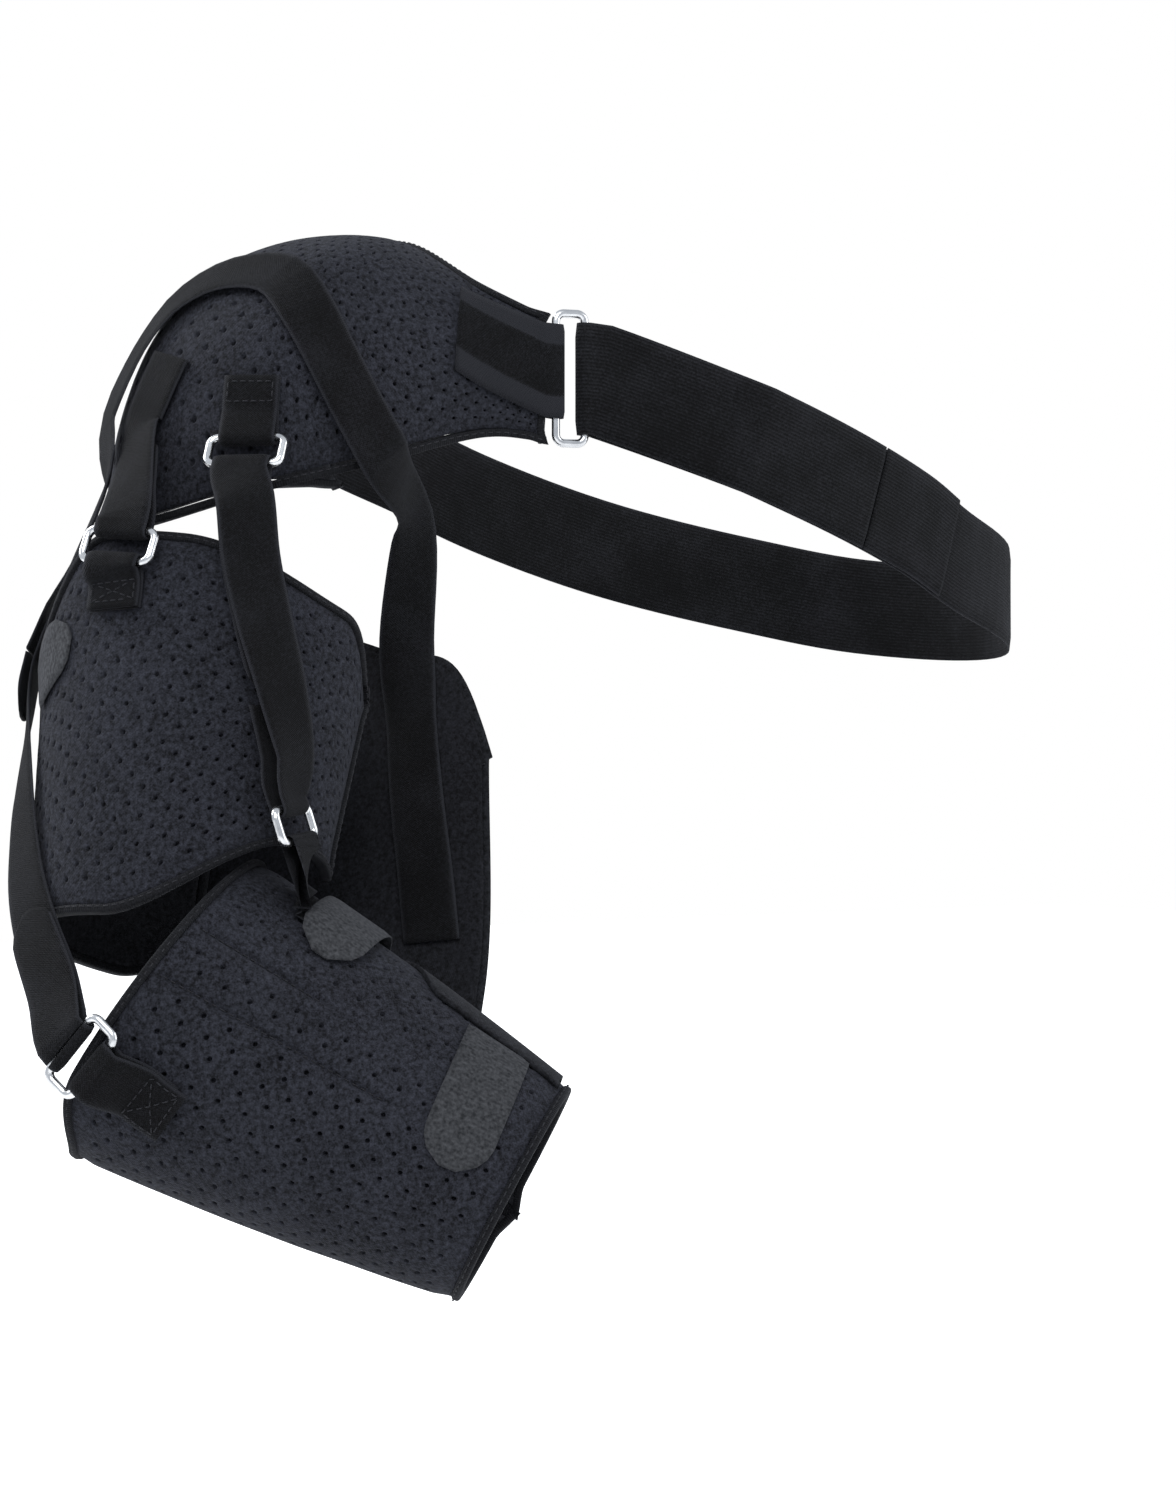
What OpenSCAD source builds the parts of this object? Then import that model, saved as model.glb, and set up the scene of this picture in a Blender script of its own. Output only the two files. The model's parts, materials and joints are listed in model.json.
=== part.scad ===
// Shoulder, upper arm and elbow support sling, right arm, as worn.
// Origin: centre of the wearer's shoulder joint. +X to the wearer's left, -Y to the front, +Z up.
// Every soft piece is drawn between two lifts of a surface. Lift 0 is a cap's or cuff's outer face.

/* [Wearer] */
// Distance from the shoulder joint to the elbow joint
arm_length = 265; // [255:1:275]
// Angle between the upper arm and the forearm, 0 when the arm is straight
elbow_bend = 70; // [66:1:74]

/* [Shoulder cap] */
// Height of the cap's top above the shoulder joint
cap_top = 46; // [43:1:49]
// Distance from the shoulder joint out to the cap's side
cap_reach = 66; // [63:1:69]
// Distance from the shoulder joint down to the cap's outer edge
cap_drop = 72; // [68:1:76]
// Distance from the shoulder joint in to the ends of the wings
wing_reach = 71; // [68:1:75]
// Distance from the shoulder joint forward to the front wing's end
front_wing_depth = 75; // [72:1:78]
// Distance from the shoulder joint back to the back wing's end
back_wing_depth = 85; // [82:1:88]
// Height of a wing's end
wing_height = 49; // [48:0.5:52]
// Thickness of the perforated foam of the cap and cuffs
foam_t = 3.6; // [3:0.1:4.5]
// Thickness of the lining cloth
lining_t = 0.8; // [0.5:0.1:1.2]
// Width of the edge binding
binding_w = 3.2; // [2.5:0.1:4]

/* [Upper arm cuff] */
// Distance from the shoulder joint to the cuff's upper edge, at the outer side
cuff_start = 102; // [98:1:106]
// Length of the cuff at the outer side
cuff_length = 144; // [138:1:148]
// Half of the cuff's outer size from back to front, at its upper end
cuff_half_top = 65; // [63:0.5:67]
// Half of the cuff's outer size from back to front, at its lower end
cuff_half_low = 52; // [50:0.5:53]
// Half of the cuff's outer size from side to side, at its upper end
cuff_side_top = 53; // [52:0.5:55]
// Half of the cuff's outer size from side to side, at its lower end
cuff_side_low = 50; // [48:0.5:51]

/* [Forearm cuff] */
// Distance from the elbow joint to the cuff's far end
forearm_length = 145; // [140:1:150]
// Half of the cuff's outer height at the elbow
forearm_half_near = 63; // [61:0.5:65]
// Half of the cuff's outer height at the far end
forearm_half_far = 43; // [41:0.5:46]
// Half of the cuff's outer width at the elbow
forearm_side_near = 57; // [56:0.5:58]
// Half of the cuff's outer width at the far end
forearm_side_far = 40; // [38:0.5:43]

/* [Straps] */
// Width of the suspension webbing
webbing_w = 21.5; // [20:0.5:23]
// Thickness of the suspension webbing
webbing_t = 1.5; // [1.2:0.1:1.8]
// Width of the elastic chest strap
chest_w = 43; // [40:1:46]
// Thickness of the elastic chest strap
chest_t = 1.8; // [1.4:0.1:2.2]
// Half of the chest's width, at the strap
chest_half = 172; // [168:1:176]
// Width of the hook tabs of the forearm cuff
hook_tab_w = 26; // [24:0.5:28]
// Thickness of the hook tape
hook_t = 1.2; // [1:0.1:1.5]

/* [Rings] */
// Radius of the rings' wire
wire_r = 1.6; // [1.4:0.1:1.8]
// Play of the webbing in a ring's window, at each end
ring_play = 1.8; // [1.6:0.1:2.4]
// Height of a suspension ring's window, between its bars
ring_window_h = 9; // [8.5:0.5:10]
// Height of the chest ring's window
chest_window_h = 8.5; // [8:0.5:10]

/* [Hidden] */

// Colours
foam_colour = "#1d1f26";
cloth_colour = "#15161a";
strap_colour = "#18191c";
hook_colour = "#55565a";
chrome_colour = "#d5d7da";

// Clearance between two layers of cloth that lie on each other
layer_gap = 0.3;
// How far a binding stands proud of the foam's outer face
binding_lift = 0.4;
// Clearance between a binding and the foam's cut edge
edge_gap = 0.22;

// ---- Vectors, splines and surfaces ----

function unit(v) = v / norm(v);
function mix(a, b, t) = a + (b - a) * t;
function smooth(t) = let (x = min(max(t, 0), 1)) x * x * (3 - 2 * x);

// Catmull-Rom curve through a list of points, t from 0 to 1 over the whole list
function curve_span(p0, p1, p2, p3, t) =
    0.5 * (2 * p1 + (p2 - p0) * t + (2 * p0 - 5 * p1 + 4 * p2 - p3) * t * t
    + (3 * p1 - p0 - 3 * p2 + p3) * t * t * t);
function curve(points, t) =
    let (last = len(points) - 1)
    let (x = t * last)
    let (i = min(max(floor(x), 0), last - 1))
    let (before = i > 0 ? points[i - 1] : 2 * points[0] - points[1])
    let (after = i < last - 1 ? points[i + 2] : 2 * points[last] - points[last - 1])
    curve_span(before, points[i], points[i + 1], after, x - i);

// Outward normal of a shape(a, b)
function face_normal(shape, a, b) =
    let (e = 0.002)
    unit(cross(shape(a + e, b) - shape(a - e, b), shape(a, b + e) - shape(a, b - e)));

// Closed solid between two lifts of shape(a, b, lift); the shape's a by b is its outward side
module skin(shape, cells_a, cells_b, low, high) {
    row = cells_b + 1;
    layer = (cells_a + 1) * row;
    points = [for (lift = [low, high], i = [0:cells_a], j = [0:cells_b])
        shape(i / cells_a, j / cells_b, lift)];
    function quad(p, q, r, s) = [[p, q, r], [p, r, s]];
    function over(i, j) = layer + i * row + j;
    function under(i, j) = i * row + j;
    top = [for (i = [0:cells_a - 1], j = [0:cells_b - 1])
        each quad(over(i, j), over(i, j + 1), over(i + 1, j + 1), over(i + 1, j))];
    bottom = [for (i = [0:cells_a - 1], j = [0:cells_b - 1])
        each quad(under(i, j), under(i + 1, j), under(i + 1, j + 1), under(i, j + 1))];
    sides_a = [for (i = [0:cells_a - 1]) each concat(
        quad(under(i, 0), over(i, 0), over(i + 1, 0), under(i + 1, 0)),
        quad(under(i, cells_b), under(i + 1, cells_b), over(i + 1, cells_b), over(i, cells_b)))];
    sides_b = [for (j = [0:cells_b - 1]) each concat(
        quad(under(0, j), under(0, j + 1), over(0, j + 1), over(0, j)),
        quad(under(cells_a, j), over(cells_a, j), over(cells_a, j + 1), under(cells_a, j + 1)))];
    polyhedron(points, concat(top, bottom, sides_a, sides_b));
}

// Closed frame of rectangular section round the four edges of sheet(a, b, lift, margin)
module edging(sheet, cells_a, cells_b, low, high, width) {
    around = concat(
        [for (i = [0:cells_a - 1]) [i / cells_a, 0]],
        [for (j = [0:cells_b - 1]) [1, j / cells_b]],
        [for (i = [cells_a:-1:1]) [i / cells_a, 1]],
        [for (j = [cells_b:-1:1]) [0, j / cells_b]]);
    count = len(around);
    points = [for (p = around, corner = [[low, 0], [high, 0], [high, width], [low, width]])
        sheet(p[0], p[1], corner[0], corner[1])];
    faces = [for (i = [0:count - 1], j = [0:3])
        let (a = 4 * i + j, b = 4 * i + (j + 1) % 4)
        let (c = 4 * ((i + 1) % count) + (j + 1) % 4, d = 4 * ((i + 1) % count) + j)
        each [[a, b, c], [a, c, d]]];
    polyhedron(points, faces);
}

// ---- The wearer's arm ----

// Upper arm, shoulder to elbow: hangs down, a little out and forward
arm_dir = unit([-0.295, -0.185, -0.937]);
// Outer side of the elbow's hinge axis
outer_dir = unit(cross(arm_dir, [0.674, -0.57, -0.47]));
// Front of the upper arm
front_dir = cross(outer_dir, arm_dir);
elbow = arm_dir * arm_length;
forearm_dir = arm_dir * cos(elbow_bend) + front_dir * sin(elbow_bend);
// Upper side of the forearm
upper_dir = cross(outer_dir, forearm_dir);

// ---- Shoulder cap ----

// Height of the middle of each wing's end
front_wing_z = -13;
back_wing_z = -20;
// Rows run from the front wing's end over the shoulder to the back wing's end
cap_inner_edge = [
    [wing_reach, -front_wing_depth, wing_height / 2 + front_wing_z],
    [wing_reach - 18, 17 - front_wing_depth, cap_top - 22],
    [50, -24, cap_top - 6],
    [49, -6, cap_top - 1],
    [50, 8, cap_top],
    [53, 26, cap_top - 3],
    [wing_reach - 20, back_wing_depth - 33, cap_top - 14],
    [wing_reach, back_wing_depth, wing_height / 2 + back_wing_z]];
cap_outer_edge = [
    [wing_reach, -front_wing_depth, -wing_height / 2 + front_wing_z],
    [wing_reach - 24, 9 - front_wing_depth, 35 - cap_drop],
    [0, 4 - cap_reach, 22 - cap_drop],
    [28 - cap_reach, -50, 12 - cap_drop],
    [-cap_reach, -2, -cap_drop],
    [18 - cap_reach, 52, 6 - cap_drop],
    [20, back_wing_depth - 11, 22 - cap_drop],
    [wing_reach, back_wing_depth, -wing_height / 2 + back_wing_z]];
// How far each row bulges out over the straight line between its edges
cap_bulge = [
    [0, -2, 0],
    [-3, -8, 4],
    [-15, -12, 22],
    [-26, -13, 29],
    [-30, 2, 33],
    [-21, 5, 24],
    [-8, 9, 13],
    [0, 2, 0]];
function cap_face(a, b) =
    mix(curve(cap_inner_edge, a), curve(cap_outer_edge, a), b) + 4 * b * (1 - b) * curve(cap_bulge, a);
function cap_at(a, b, lift) =
    cap_face(a, b) + lift * face_normal(function (p, q) cap_face(p, q), a, b);
// The cap less a margin all round; the rows are about 330 long in all and 110 to 170 across
function cap_sheet(a, b, lift, margin) =
    let (along = margin / 330)
    let (aa = mix(along, 1 - along, a))
    let (across = margin / norm(curve(cap_inner_edge, aa) - curve(cap_outer_edge, aa)) / 1.15)
    cap_at(aa, mix(across, 1 - across, b), lift);

module shoulder_cap() {
    color(foam_colour)
        skin(function (a, b, lift) cap_sheet(a, b, lift, binding_w + edge_gap), 30, 12, -foam_t, 0);
}

module shoulder_cap_lining() {
    color(cloth_colour)
        skin(function (a, b, lift) cap_sheet(a, b, lift, binding_w + edge_gap), 30, 12,
            -foam_t - lining_t, -foam_t);
}

module shoulder_cap_binding() {
    color(cloth_colour)
        edging(function (a, b, lift, margin) cap_sheet(a, b, lift, margin), 30, 12,
            -foam_t - lining_t, binding_lift, binding_w);
}

// ---- Upper arm cuff ----

cuff_end = cuff_start + cuff_length;
function cuff_front_half(s) = mix(cuff_half_top, cuff_half_low, (s - cuff_start) / cuff_length);
// The arm lies a little behind the line from joint to joint
function cuff_set_back(s) = mix(8, 2, (s - cuff_start) / cuff_length);
function cuff_side_half(s) = mix(cuff_side_top, cuff_side_low, (s - cuff_start) / cuff_length);
// Point on the upper arm's tube: s down the arm, turn from the outer side towards the front
function arm_at(s, turn, lift) =
    arm_dir * s + outer_dir * (cuff_side_half(s) + lift) * cos(turn)
    + front_dir * ((cuff_front_half(s) + lift) * sin(turn) - cuff_set_back(s));
// The cuff runs from the inner side round the back and the outer side to the front
cuff_turns = [-188, 84];
// The upper edge drops towards the front and the back; the lower edge is cut up for the elbow's crease
function cuff_upper_edge(turn) = cuff_start + 13 * smooth((turn + 10) / 62) +
    26 * pow(smooth((turn - 44) / 40), 2)
    + 34 * smooth((-turn - 38) / 48) - 22 * smooth((-turn - 120) / 50);
function cuff_lower_edge(turn) = cuff_end - 38.5 * smooth((abs(turn + 90) - 63) / 80);
function cuff_sheet(a, b, lift, margin) =
    let (side = margin / cuff_half_low * 180 / PI)
    let (turn = mix(cuff_turns[0] + side, cuff_turns[1] - side, b))
    arm_at(mix(cuff_upper_edge(turn) + margin, cuff_lower_edge(turn) - margin, a), turn, lift);

module upper_arm_cuff() {
    color(foam_colour)
        skin(function (a, b, lift) cuff_sheet(a, b, lift, binding_w + edge_gap), 6, 36, -foam_t, 0);
}

module upper_arm_cuff_lining() {
    color(cloth_colour)
        skin(function (a, b, lift) cuff_sheet(a, b, lift, binding_w + edge_gap), 6, 36,
            -foam_t - lining_t, -foam_t);
}

module upper_arm_cuff_binding() {
    color(cloth_colour)
        edging(function (a, b, lift, margin) cuff_sheet(a, b, lift, margin), 6, 36,
            -foam_t - lining_t, binding_lift, binding_w);
}

// ---- Forearm cuff ----

function forearm_top_half(s) =
    mix(forearm_half_near, forearm_half_far, s / forearm_length) + 2 * sin(180 * s / forearm_length);
function forearm_side_half(s) = mix(forearm_side_near, forearm_side_far, s / forearm_length);
// Point on the forearm's tube: s along it from the elbow, turn from the outer side towards the top
function forearm_at(s, turn, lift) =
    elbow + forearm_dir * s + outer_dir * (forearm_side_half(s) + lift) * cos(turn)
    + upper_dir * (forearm_top_half(s) + lift) * sin(turn);
// The cuff's ends meet along the inner side; its elbow end is cut back towards the top
forearm_turns = [-179, 177];
function forearm_near_edge(turn) = 8 * sin(turn) - 4 + 9 * smooth((-turn - 45) / 40);
function forearm_sheet(a, b, lift, margin) =
    let (side = margin / forearm_half_far * 180 / PI)
    let (turn = mix(forearm_turns[0] + side, forearm_turns[1] - side, b))
    forearm_at(mix(forearm_near_edge(turn) + margin, forearm_length - margin, a), turn, lift);

module forearm_cuff() {
    color(foam_colour)
        skin(function (a, b, lift) forearm_sheet(a, b, lift, binding_w + edge_gap), 6, 40, -foam_t, 0);
}

module forearm_cuff_lining() {
    color(cloth_colour)
        skin(function (a, b, lift) forearm_sheet(a, b, lift, binding_w + edge_gap), 6, 40,
            -foam_t - lining_t, -foam_t);
}

module forearm_cuff_binding() {
    color(cloth_colour)
        edging(function (a, b, lift, margin) forearm_sheet(a, b, lift, margin), 6, 40,
            -foam_t - lining_t, binding_lift, binding_w);
}

// ---- Webbing, rings and loops ----

// A route is a list of [point, outward normal]. A ribbon follows it with its flat side to the normal
function points_of(route) = [for (step = route) step[0]];
function route_tangent(points, i) =
    unit(points[min(i + 1, len(points) - 1)] - points[max(i - 1, 0)]);
function length_between(points, i, j) =
    i >= j ? 0 : norm(points[i + 1] - points[i]) + length_between(points, i + 1, j);
// Share of the full width at a distance from a round end of radius r
function round_share(distance, r) =
    distance >= r ? 1 : max(0.25, sqrt(1 - pow(1 - distance / r, 2)));
// Distance along a list of points, at each of them
function distances(points) =
    [for (i = 0, d = 0; i < len(points); d = d + (i + 1 < len(points) ? norm(points[i +
        1] - points[i]) : 0),
        i = i + 1) d];
// Smooth curve through points that lie at distances, at a distance x; i is the span that holds x
function slope(points, at, i) =
    let (a = max(i - 1, 0), b = min(i + 1, len(points) - 1))
    (points[b] - points[a]) / (at[b] - at[a]);
function along_span(points, at, i, x) =
    let (h = at[i + 1] - at[i])
    let (u = (x - at[i]) / h)
    points[i] * (1 + 2 * u) * (1 - u) * (1 - u) + points[i + 1] * u * u * (3 - 2 * u)
    + slope(points, at, i) * h * u * (1 - u) * (1 - u) - slope(points, at, i + 1) * h * u * u * (1 - u);
// A route through knots, in equal steps
function smooth_route(knots, steps) =
    let (points = [for (k = knots) k[0]])
    let (normals = [for (k = knots) k[1]])
    let (at = distances(points))
    let (last = len(points) - 1)
    [for (j = [0:steps])
        let (x = at[last] * j / steps)
        let (i = max([for (k = [0:last - 1]) if (at[k] <= x + 0.001) k]))
        [along_span(points, at, i, x), unit(along_span(normals, at, i, x))]];
// A knot moved along a direction
function moved(knot, v) = [knot[0] + v, knot[1]];

module ribbon(route, width, thickness, round_end = false) {
    path = points_of(route);
    last = len(path) - 1;
    corners = [for (i = [0:last])
        let (ahead = route_tangent(path, i))
        let (side = unit(cross(route[i][1], ahead)))
        let (up = cross(ahead, side))
        let (share = round_end ? round_share(length_between(path, i, last), width / 2) : 1)
        each [for (c = [[-1, -1], [1, -1], [1, 1], [-1, 1]])
            path[i] + side * c[0] * width / 2 * share + up * c[1] * thickness / 2]];
    around = [for (i = [0:last - 1], j = [0:3])
        let (a = 4 * i + j, b = 4 * i + (j + 1) % 4)
        each [[b + 4, b, a], [a + 4, b + 4, a]]];
    caps = [[0, 1, 2], [0, 2, 3],
        [4 * last + 2, 4 * last + 1, 4 * last], [4 * last + 3, 4 * last + 2, 4 * last]];
    polyhedron(corners, concat(around, caps));
}

// A frame is [centre, down, side, out], with down x side = out
function frame(centre, down, out, twist = 0) =
    let (level = unit(cross(out, down)))
    let (side = level * cos(twist) + out * sin(twist))
    [centre, down, side, cross(down, side)];
module in_frame(f) {
    multmatrix([
        [f[1][0], f[2][0], f[3][0], f[0][0]],
        [f[1][1], f[2][1], f[3][1], f[0][1]],
        [f[1][2], f[2][2], f[3][2], f[0][2]],
        [0, 0, 0, 1]])
        children();
}

// Wire ring with its bars along the frame's side; window_h is the clear height between the bars
module wire_ring(f, window_l, window_h, corner_r) {
    half_h = window_h / 2 + wire_r;
    half_l = window_l / 2 + wire_r;
    color(chrome_colour)
        in_frame(f) {
            for (turn = [0, 180]) rotate([0, 0, turn]) {
                translate([half_h, 0, 0])
                    rotate([90, 0, 0])
                        cylinder(r = wire_r, h = 2 * (half_l - corner_r), center = true, $fn = 16);
                if (half_h > corner_r + 0.01)
                    translate([0, half_l, 0])
                        rotate([0, 90, 0])
                            cylinder(r = wire_r, h = 2 * (half_h - corner_r), center = true, $fn = 16);
                translate([half_h - corner_r, half_l - corner_r, 0])
                    rotate_extrude(angle = 90, $fn = 16)
                        translate([corner_r, 0])
                            circle(r = wire_r, $fn = 16);
                translate([corner_r - half_h, half_l - corner_r, 0])
                    rotate([0, 0, 90])
                        rotate_extrude(angle = 90, $fn = 16)
                            translate([corner_r, 0])
                                circle(r = wire_r, $fn = 16);
            }
        }
}
// Centres of a ring's two bars
function upper_bar(f, window_h) = f[0] - f[1] * (window_h / 2 + wire_r);
function lower_bar(f, window_h) = f[0] + f[1] * (window_h / 2 + wire_r);

// Webbing round a bar: it passes the window on the away side, from above (out) to below, in half a
// turn or more
loop_steps = 6;
function loop_down(bar, away, out, r, more = 0) =
    [for (i = [0:loop_steps + more])
        let (ray = away * cos(90 - 180 * i / loop_steps) + out * sin(90 - 180 * i / loop_steps))
        [bar + ray * r, ray]];
// A route without its repeated points
function distinct(route) =
    [for (i = [0:len(route) - 1]) if (i == 0 || norm(route[i][0] - route[max(i - 1,
        0)][0]) > 0.05) route[i]];
function reversed(list) = [for (i = [len(list) - 1:-1:0]) list[i]];
// The same webbing laid from below to above, with its outer side towards the bar
function loop_up(bar, away, out, r) =
    reversed([for (step = loop_down(bar, away, out, r)) [step[0], -step[1]]]);

// Radius of a webbing loop's middle line round a ring's wire
loop_r = wire_r + layer_gap + webbing_t / 2;
// Lifts of the middle of the first and second layers of webbing on a cap or cuff
first_layer = layer_gap + binding_lift + webbing_t / 2;
second_layer = first_layer + webbing_t + layer_gap;
// Lift of a ring that lies on a cap or cuff with a loop of webbing under its bar
ring_lift = first_layer + loop_r;

// ---- Front suspension: shoulder cap, ring, strap, ring, forearm ----

function cap_normal(a, b) = face_normal(function (p, q) cap_face(p, q), a, b);
function cap_down(a, b) = unit(cap_face(a, b + 0.01) - cap_face(a, b - 0.01));
function arm_normal(s, turn) = face_normal(function (a, b) arm_at(a, b, 0), s, turn);
function forearm_normal(s, turn) = face_normal(function (a, b) forearm_at(a, b, 0), s, turn);
// A ring's window is as long as the webbing and its play; its bars are straight over the webbing
ring_window_l = webbing_w + 2 * ring_play;
chest_window_l = chest_w + 2 * ring_play;
ring_corner = ring_play + wire_r - 0.15;

front_row = 0.44;
front_ring_place = 0.903;
// The ring leans outwards from the cap, on its upper bar
front_upper_down = unit(cap_down(front_row, front_ring_place) + 0.62 * cap_normal(front_row,
    front_ring_place));
front_upper_frame = frame(
    cap_at(front_row, front_ring_place, ring_lift + 0.2) + front_upper_down * (ring_window_h / 2 + wire_r),
    front_upper_down, cap_normal(front_row, front_ring_place));
function cap_seat(a, b, lift, facing = 1) = [cap_at(a, b, lift), facing * cap_normal(a, b)];

module front_tab() {
    foot = front_ring_place - 0.052;
    top = foot - 0.07;
    route = concat(
        smooth_route([for (b = [top, mix(top, foot, 0.5), foot]) cap_seat(front_row, b, second_layer +
            0.1)], 4),
        loop_down(upper_bar(front_upper_frame, ring_window_h), front_upper_frame[1],
            front_upper_frame[3], loop_r, more = 1),
        smooth_route([for (b = [foot, mix(top, foot, 0.5), top]) cap_seat(front_row, b, first_layer,
            -1)], 4));
    color(strap_colour)
        ribbon(route, webbing_w, webbing_t);
}

module front_upper_ring() {
    wire_ring(front_upper_frame, ring_window_l, ring_window_h, ring_corner);
}

// The lower ring's distance above the elbow, and its angle round the arm
lower_ring_above = 60;
lower_ring_down = arm_length - lower_ring_above;
lower_ring_turn = 37;
front_lower_frame = frame(arm_at(lower_ring_down, lower_ring_turn, 13.5),
    unit(arm_dir + 0.5 * front_dir - 0.28 * outer_dir), unit(front_dir + 0.4 * outer_dir));
// The strap's outer layer between the rings: share of the way, angle, lift, angle it faces
front_strap_steps = [
    [0.144, 7, 9, 6], [0.304, 11, 9, 12], [0.478, 17.5, 10.5, 22], [0.652, 25, 13, 37], [0.833, 32.5,
        14.5, 56]];
front_strap_top = front_upper_frame[0] * arm_dir + 3.5;
function front_step(i, depth, facing = 1) =
    let (k = front_strap_steps[i])
    let (s = mix(front_strap_top, lower_ring_down - 1, k[0]))
    let (n = arm_normal(s, k[3]))
    [arm_at(s, k[1], k[2]) - n * depth, facing * n];
front_loop_top = loop_down(lower_bar(front_upper_frame, ring_window_h),
    -front_upper_frame[1], front_upper_frame[3], loop_r);
front_loop_low = loop_down(upper_bar(front_lower_frame, ring_window_h),
    front_lower_frame[1], front_lower_frame[3], loop_r);
// Distance between the middles of two layers that lie on each other
layer_pitch = webbing_t + layer_gap;

// The strap's outer layer, from the upper ring to the lower one, and a layer at a depth under it
front_outer = smooth_route(concat(
    [front_loop_top[0], moved(front_loop_top[0], front_upper_frame[1] * 5)],
    [for (i = [0:4]) front_step(i, 0)],
    [moved(front_loop_low[0], -front_lower_frame[1] * 5), front_loop_low[0]]), 36);
function under_front(i, depth) = [front_outer[i][0] - front_outer[i][1] * depth, -front_outer[i][1]];

// The strap's sewn end, from the lower ring's bar up behind the fold
front_end = smooth_route(concat(
    [[front_loop_low[loop_steps][0] - front_lower_frame[1] * 0.6, front_loop_low[loop_steps][1]]],
    [for (k = [[34, 6.4], [32, 7.4], [29, 7.6], [26, 7]]) under_front(k[0], k[1])]), 12);
module front_strap() {
    route = concat(
        reversed([for (i = [1:loop_steps]) front_loop_top[i]]),
        front_outer, [for (i = [1:loop_steps]) front_loop_low[i]], front_end);
    color(strap_colour)
        ribbon(route, webbing_w, webbing_t);
}

// The strap's free end, folded back through the upper ring and hooked on behind
module front_strap_fold() {
    start = front_loop_top[loop_steps];
    route = concat(
        [moved(start, front_upper_frame[1] * 0.9)],
        [for (i = [2:25])
            under_front(i, mix(2 * loop_r, layer_pitch + 0.2, smooth((i - 1) / 5)) +
                1.9 * smooth((i - 8) / 18))]);
    color(strap_colour)
        ribbon(route, webbing_w, webbing_t, round_end = true);
}

module front_lower_ring() {
    wire_ring(front_lower_frame, ring_window_l, ring_window_h, ring_corner);
}

// Angle round the forearm of the lower tab's foot, and its distance down the forearm
lower_tab_turn = 54;
lower_tab_reach = 8.6;
lower_tab_foot = (lower_bar(front_lower_frame, ring_window_h) - elbow) * forearm_dir + lower_tab_reach;
function forearm_seat(s, turn, lift, facing = 1) =
    [forearm_at(s, turn, lift), facing * forearm_normal(s, turn)];
module front_lower_tab() {
    bar = lower_bar(front_lower_frame, ring_window_h);
    loop = loop_down(bar, -front_lower_frame[1], front_lower_frame[3], loop_r);
    front = smooth_route([
        forearm_seat(lower_tab_foot + 2, lower_tab_turn, second_layer + 0.1),
        forearm_seat(lower_tab_foot - 1.5, lower_tab_turn, second_layer + 0.7),
        moved(loop[0], front_lower_frame[1] * 6.6), moved(loop[0], front_lower_frame[1] * 3.3),
            loop[0]], 14);
    back = smooth_route([
        loop[loop_steps], moved(loop[loop_steps], front_lower_frame[1] * 3.3),
        moved(loop[loop_steps], front_lower_frame[1] * 6.6),
        forearm_seat(lower_tab_foot, lower_tab_turn, first_layer + 0.5, -1),
        forearm_seat(lower_tab_foot + 6, lower_tab_turn, first_layer, -1),
        forearm_seat(lower_tab_foot + 15, lower_tab_turn, first_layer, -1)], 18);
    color(strap_colour)
        ribbon(distinct(concat(front, loop, back)), webbing_w, webbing_t);
}

// ---- Side suspension: shoulder cap, ring, upper arm cuff ----

side_ring_down = cuff_start + 8;
side_ring_turn = -30.5;
side_frame = frame(arm_at(side_ring_down, side_ring_turn, ring_lift + 0.3),
    unit(arm_dir - 0.08 * front_dir), arm_normal(side_ring_down, side_ring_turn));
side_loop = loop_down(upper_bar(side_frame, ring_window_h), side_frame[1], side_frame[3], loop_r);

// The strap leaves the cap and falls free to the ring
side_fall = smooth_route([
    cap_seat(0.535, 0.7, first_layer + 0.2), cap_seat(0.545, 0.77, first_layer + 0.4),
    cap_seat(0.555, 0.84, first_layer + 1.4),
    moved(side_loop[0], -side_frame[1] * 6), side_loop[0]], 26);

module side_strap() {
    color(strap_colour)
        ribbon(concat(side_fall, [for (i = [1:loop_steps]) side_loop[i]]), webbing_w, webbing_t);
}

// The strap's free end, folded back through the side ring
module side_strap_fold() {
    start = side_loop[loop_steps];
    route = concat(
        [moved(start, -side_frame[1] * 0.6)],
        [for (i = [25:-1:12])
            let (depth = mix(layer_pitch + 0.4, 2 * loop_r, smooth((i - 21) / 5)))
            [side_fall[i][0] - side_fall[i][1] * depth, -side_fall[i][1]]]);
    color(strap_colour)
        ribbon(route, webbing_w, webbing_t, round_end = true);
}

module side_ring() {
    wire_ring(side_frame, ring_window_l, ring_window_h, ring_corner);
}

function arm_seat(s, turn, lift, facing = 1) = [arm_at(s, turn, lift), facing * arm_normal(s, turn)];
module side_tab() {
    loop = loop_down(lower_bar(side_frame, ring_window_h), -side_frame[1], side_frame[3], loop_r);
    foot = side_ring_down + 12.5;
    tip = foot + 11;
    outer = smooth_route([arm_seat(tip, side_ring_turn - 1, second_layer),
        arm_seat(foot + 1, side_ring_turn - 1, second_layer + 0.3), moved(loop[0], side_frame[1] * 4),
        moved(loop[0], side_frame[1] * 2), loop[0]], 12);
    inner = smooth_route([loop[loop_steps], moved(loop[loop_steps], side_frame[1] * 1.5),
        moved(loop[loop_steps], side_frame[1] * 3),
        arm_seat(foot, side_ring_turn - 1, first_layer, -1), arm_seat(tip, side_ring_turn - 1,
            first_layer, -1)], 10);
    color(strap_colour)
        ribbon(distinct(concat(outer, loop, inner)), webbing_w, webbing_t);
}

// ---- Panel on the inner side of the arm, between the cuffs ----

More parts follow.
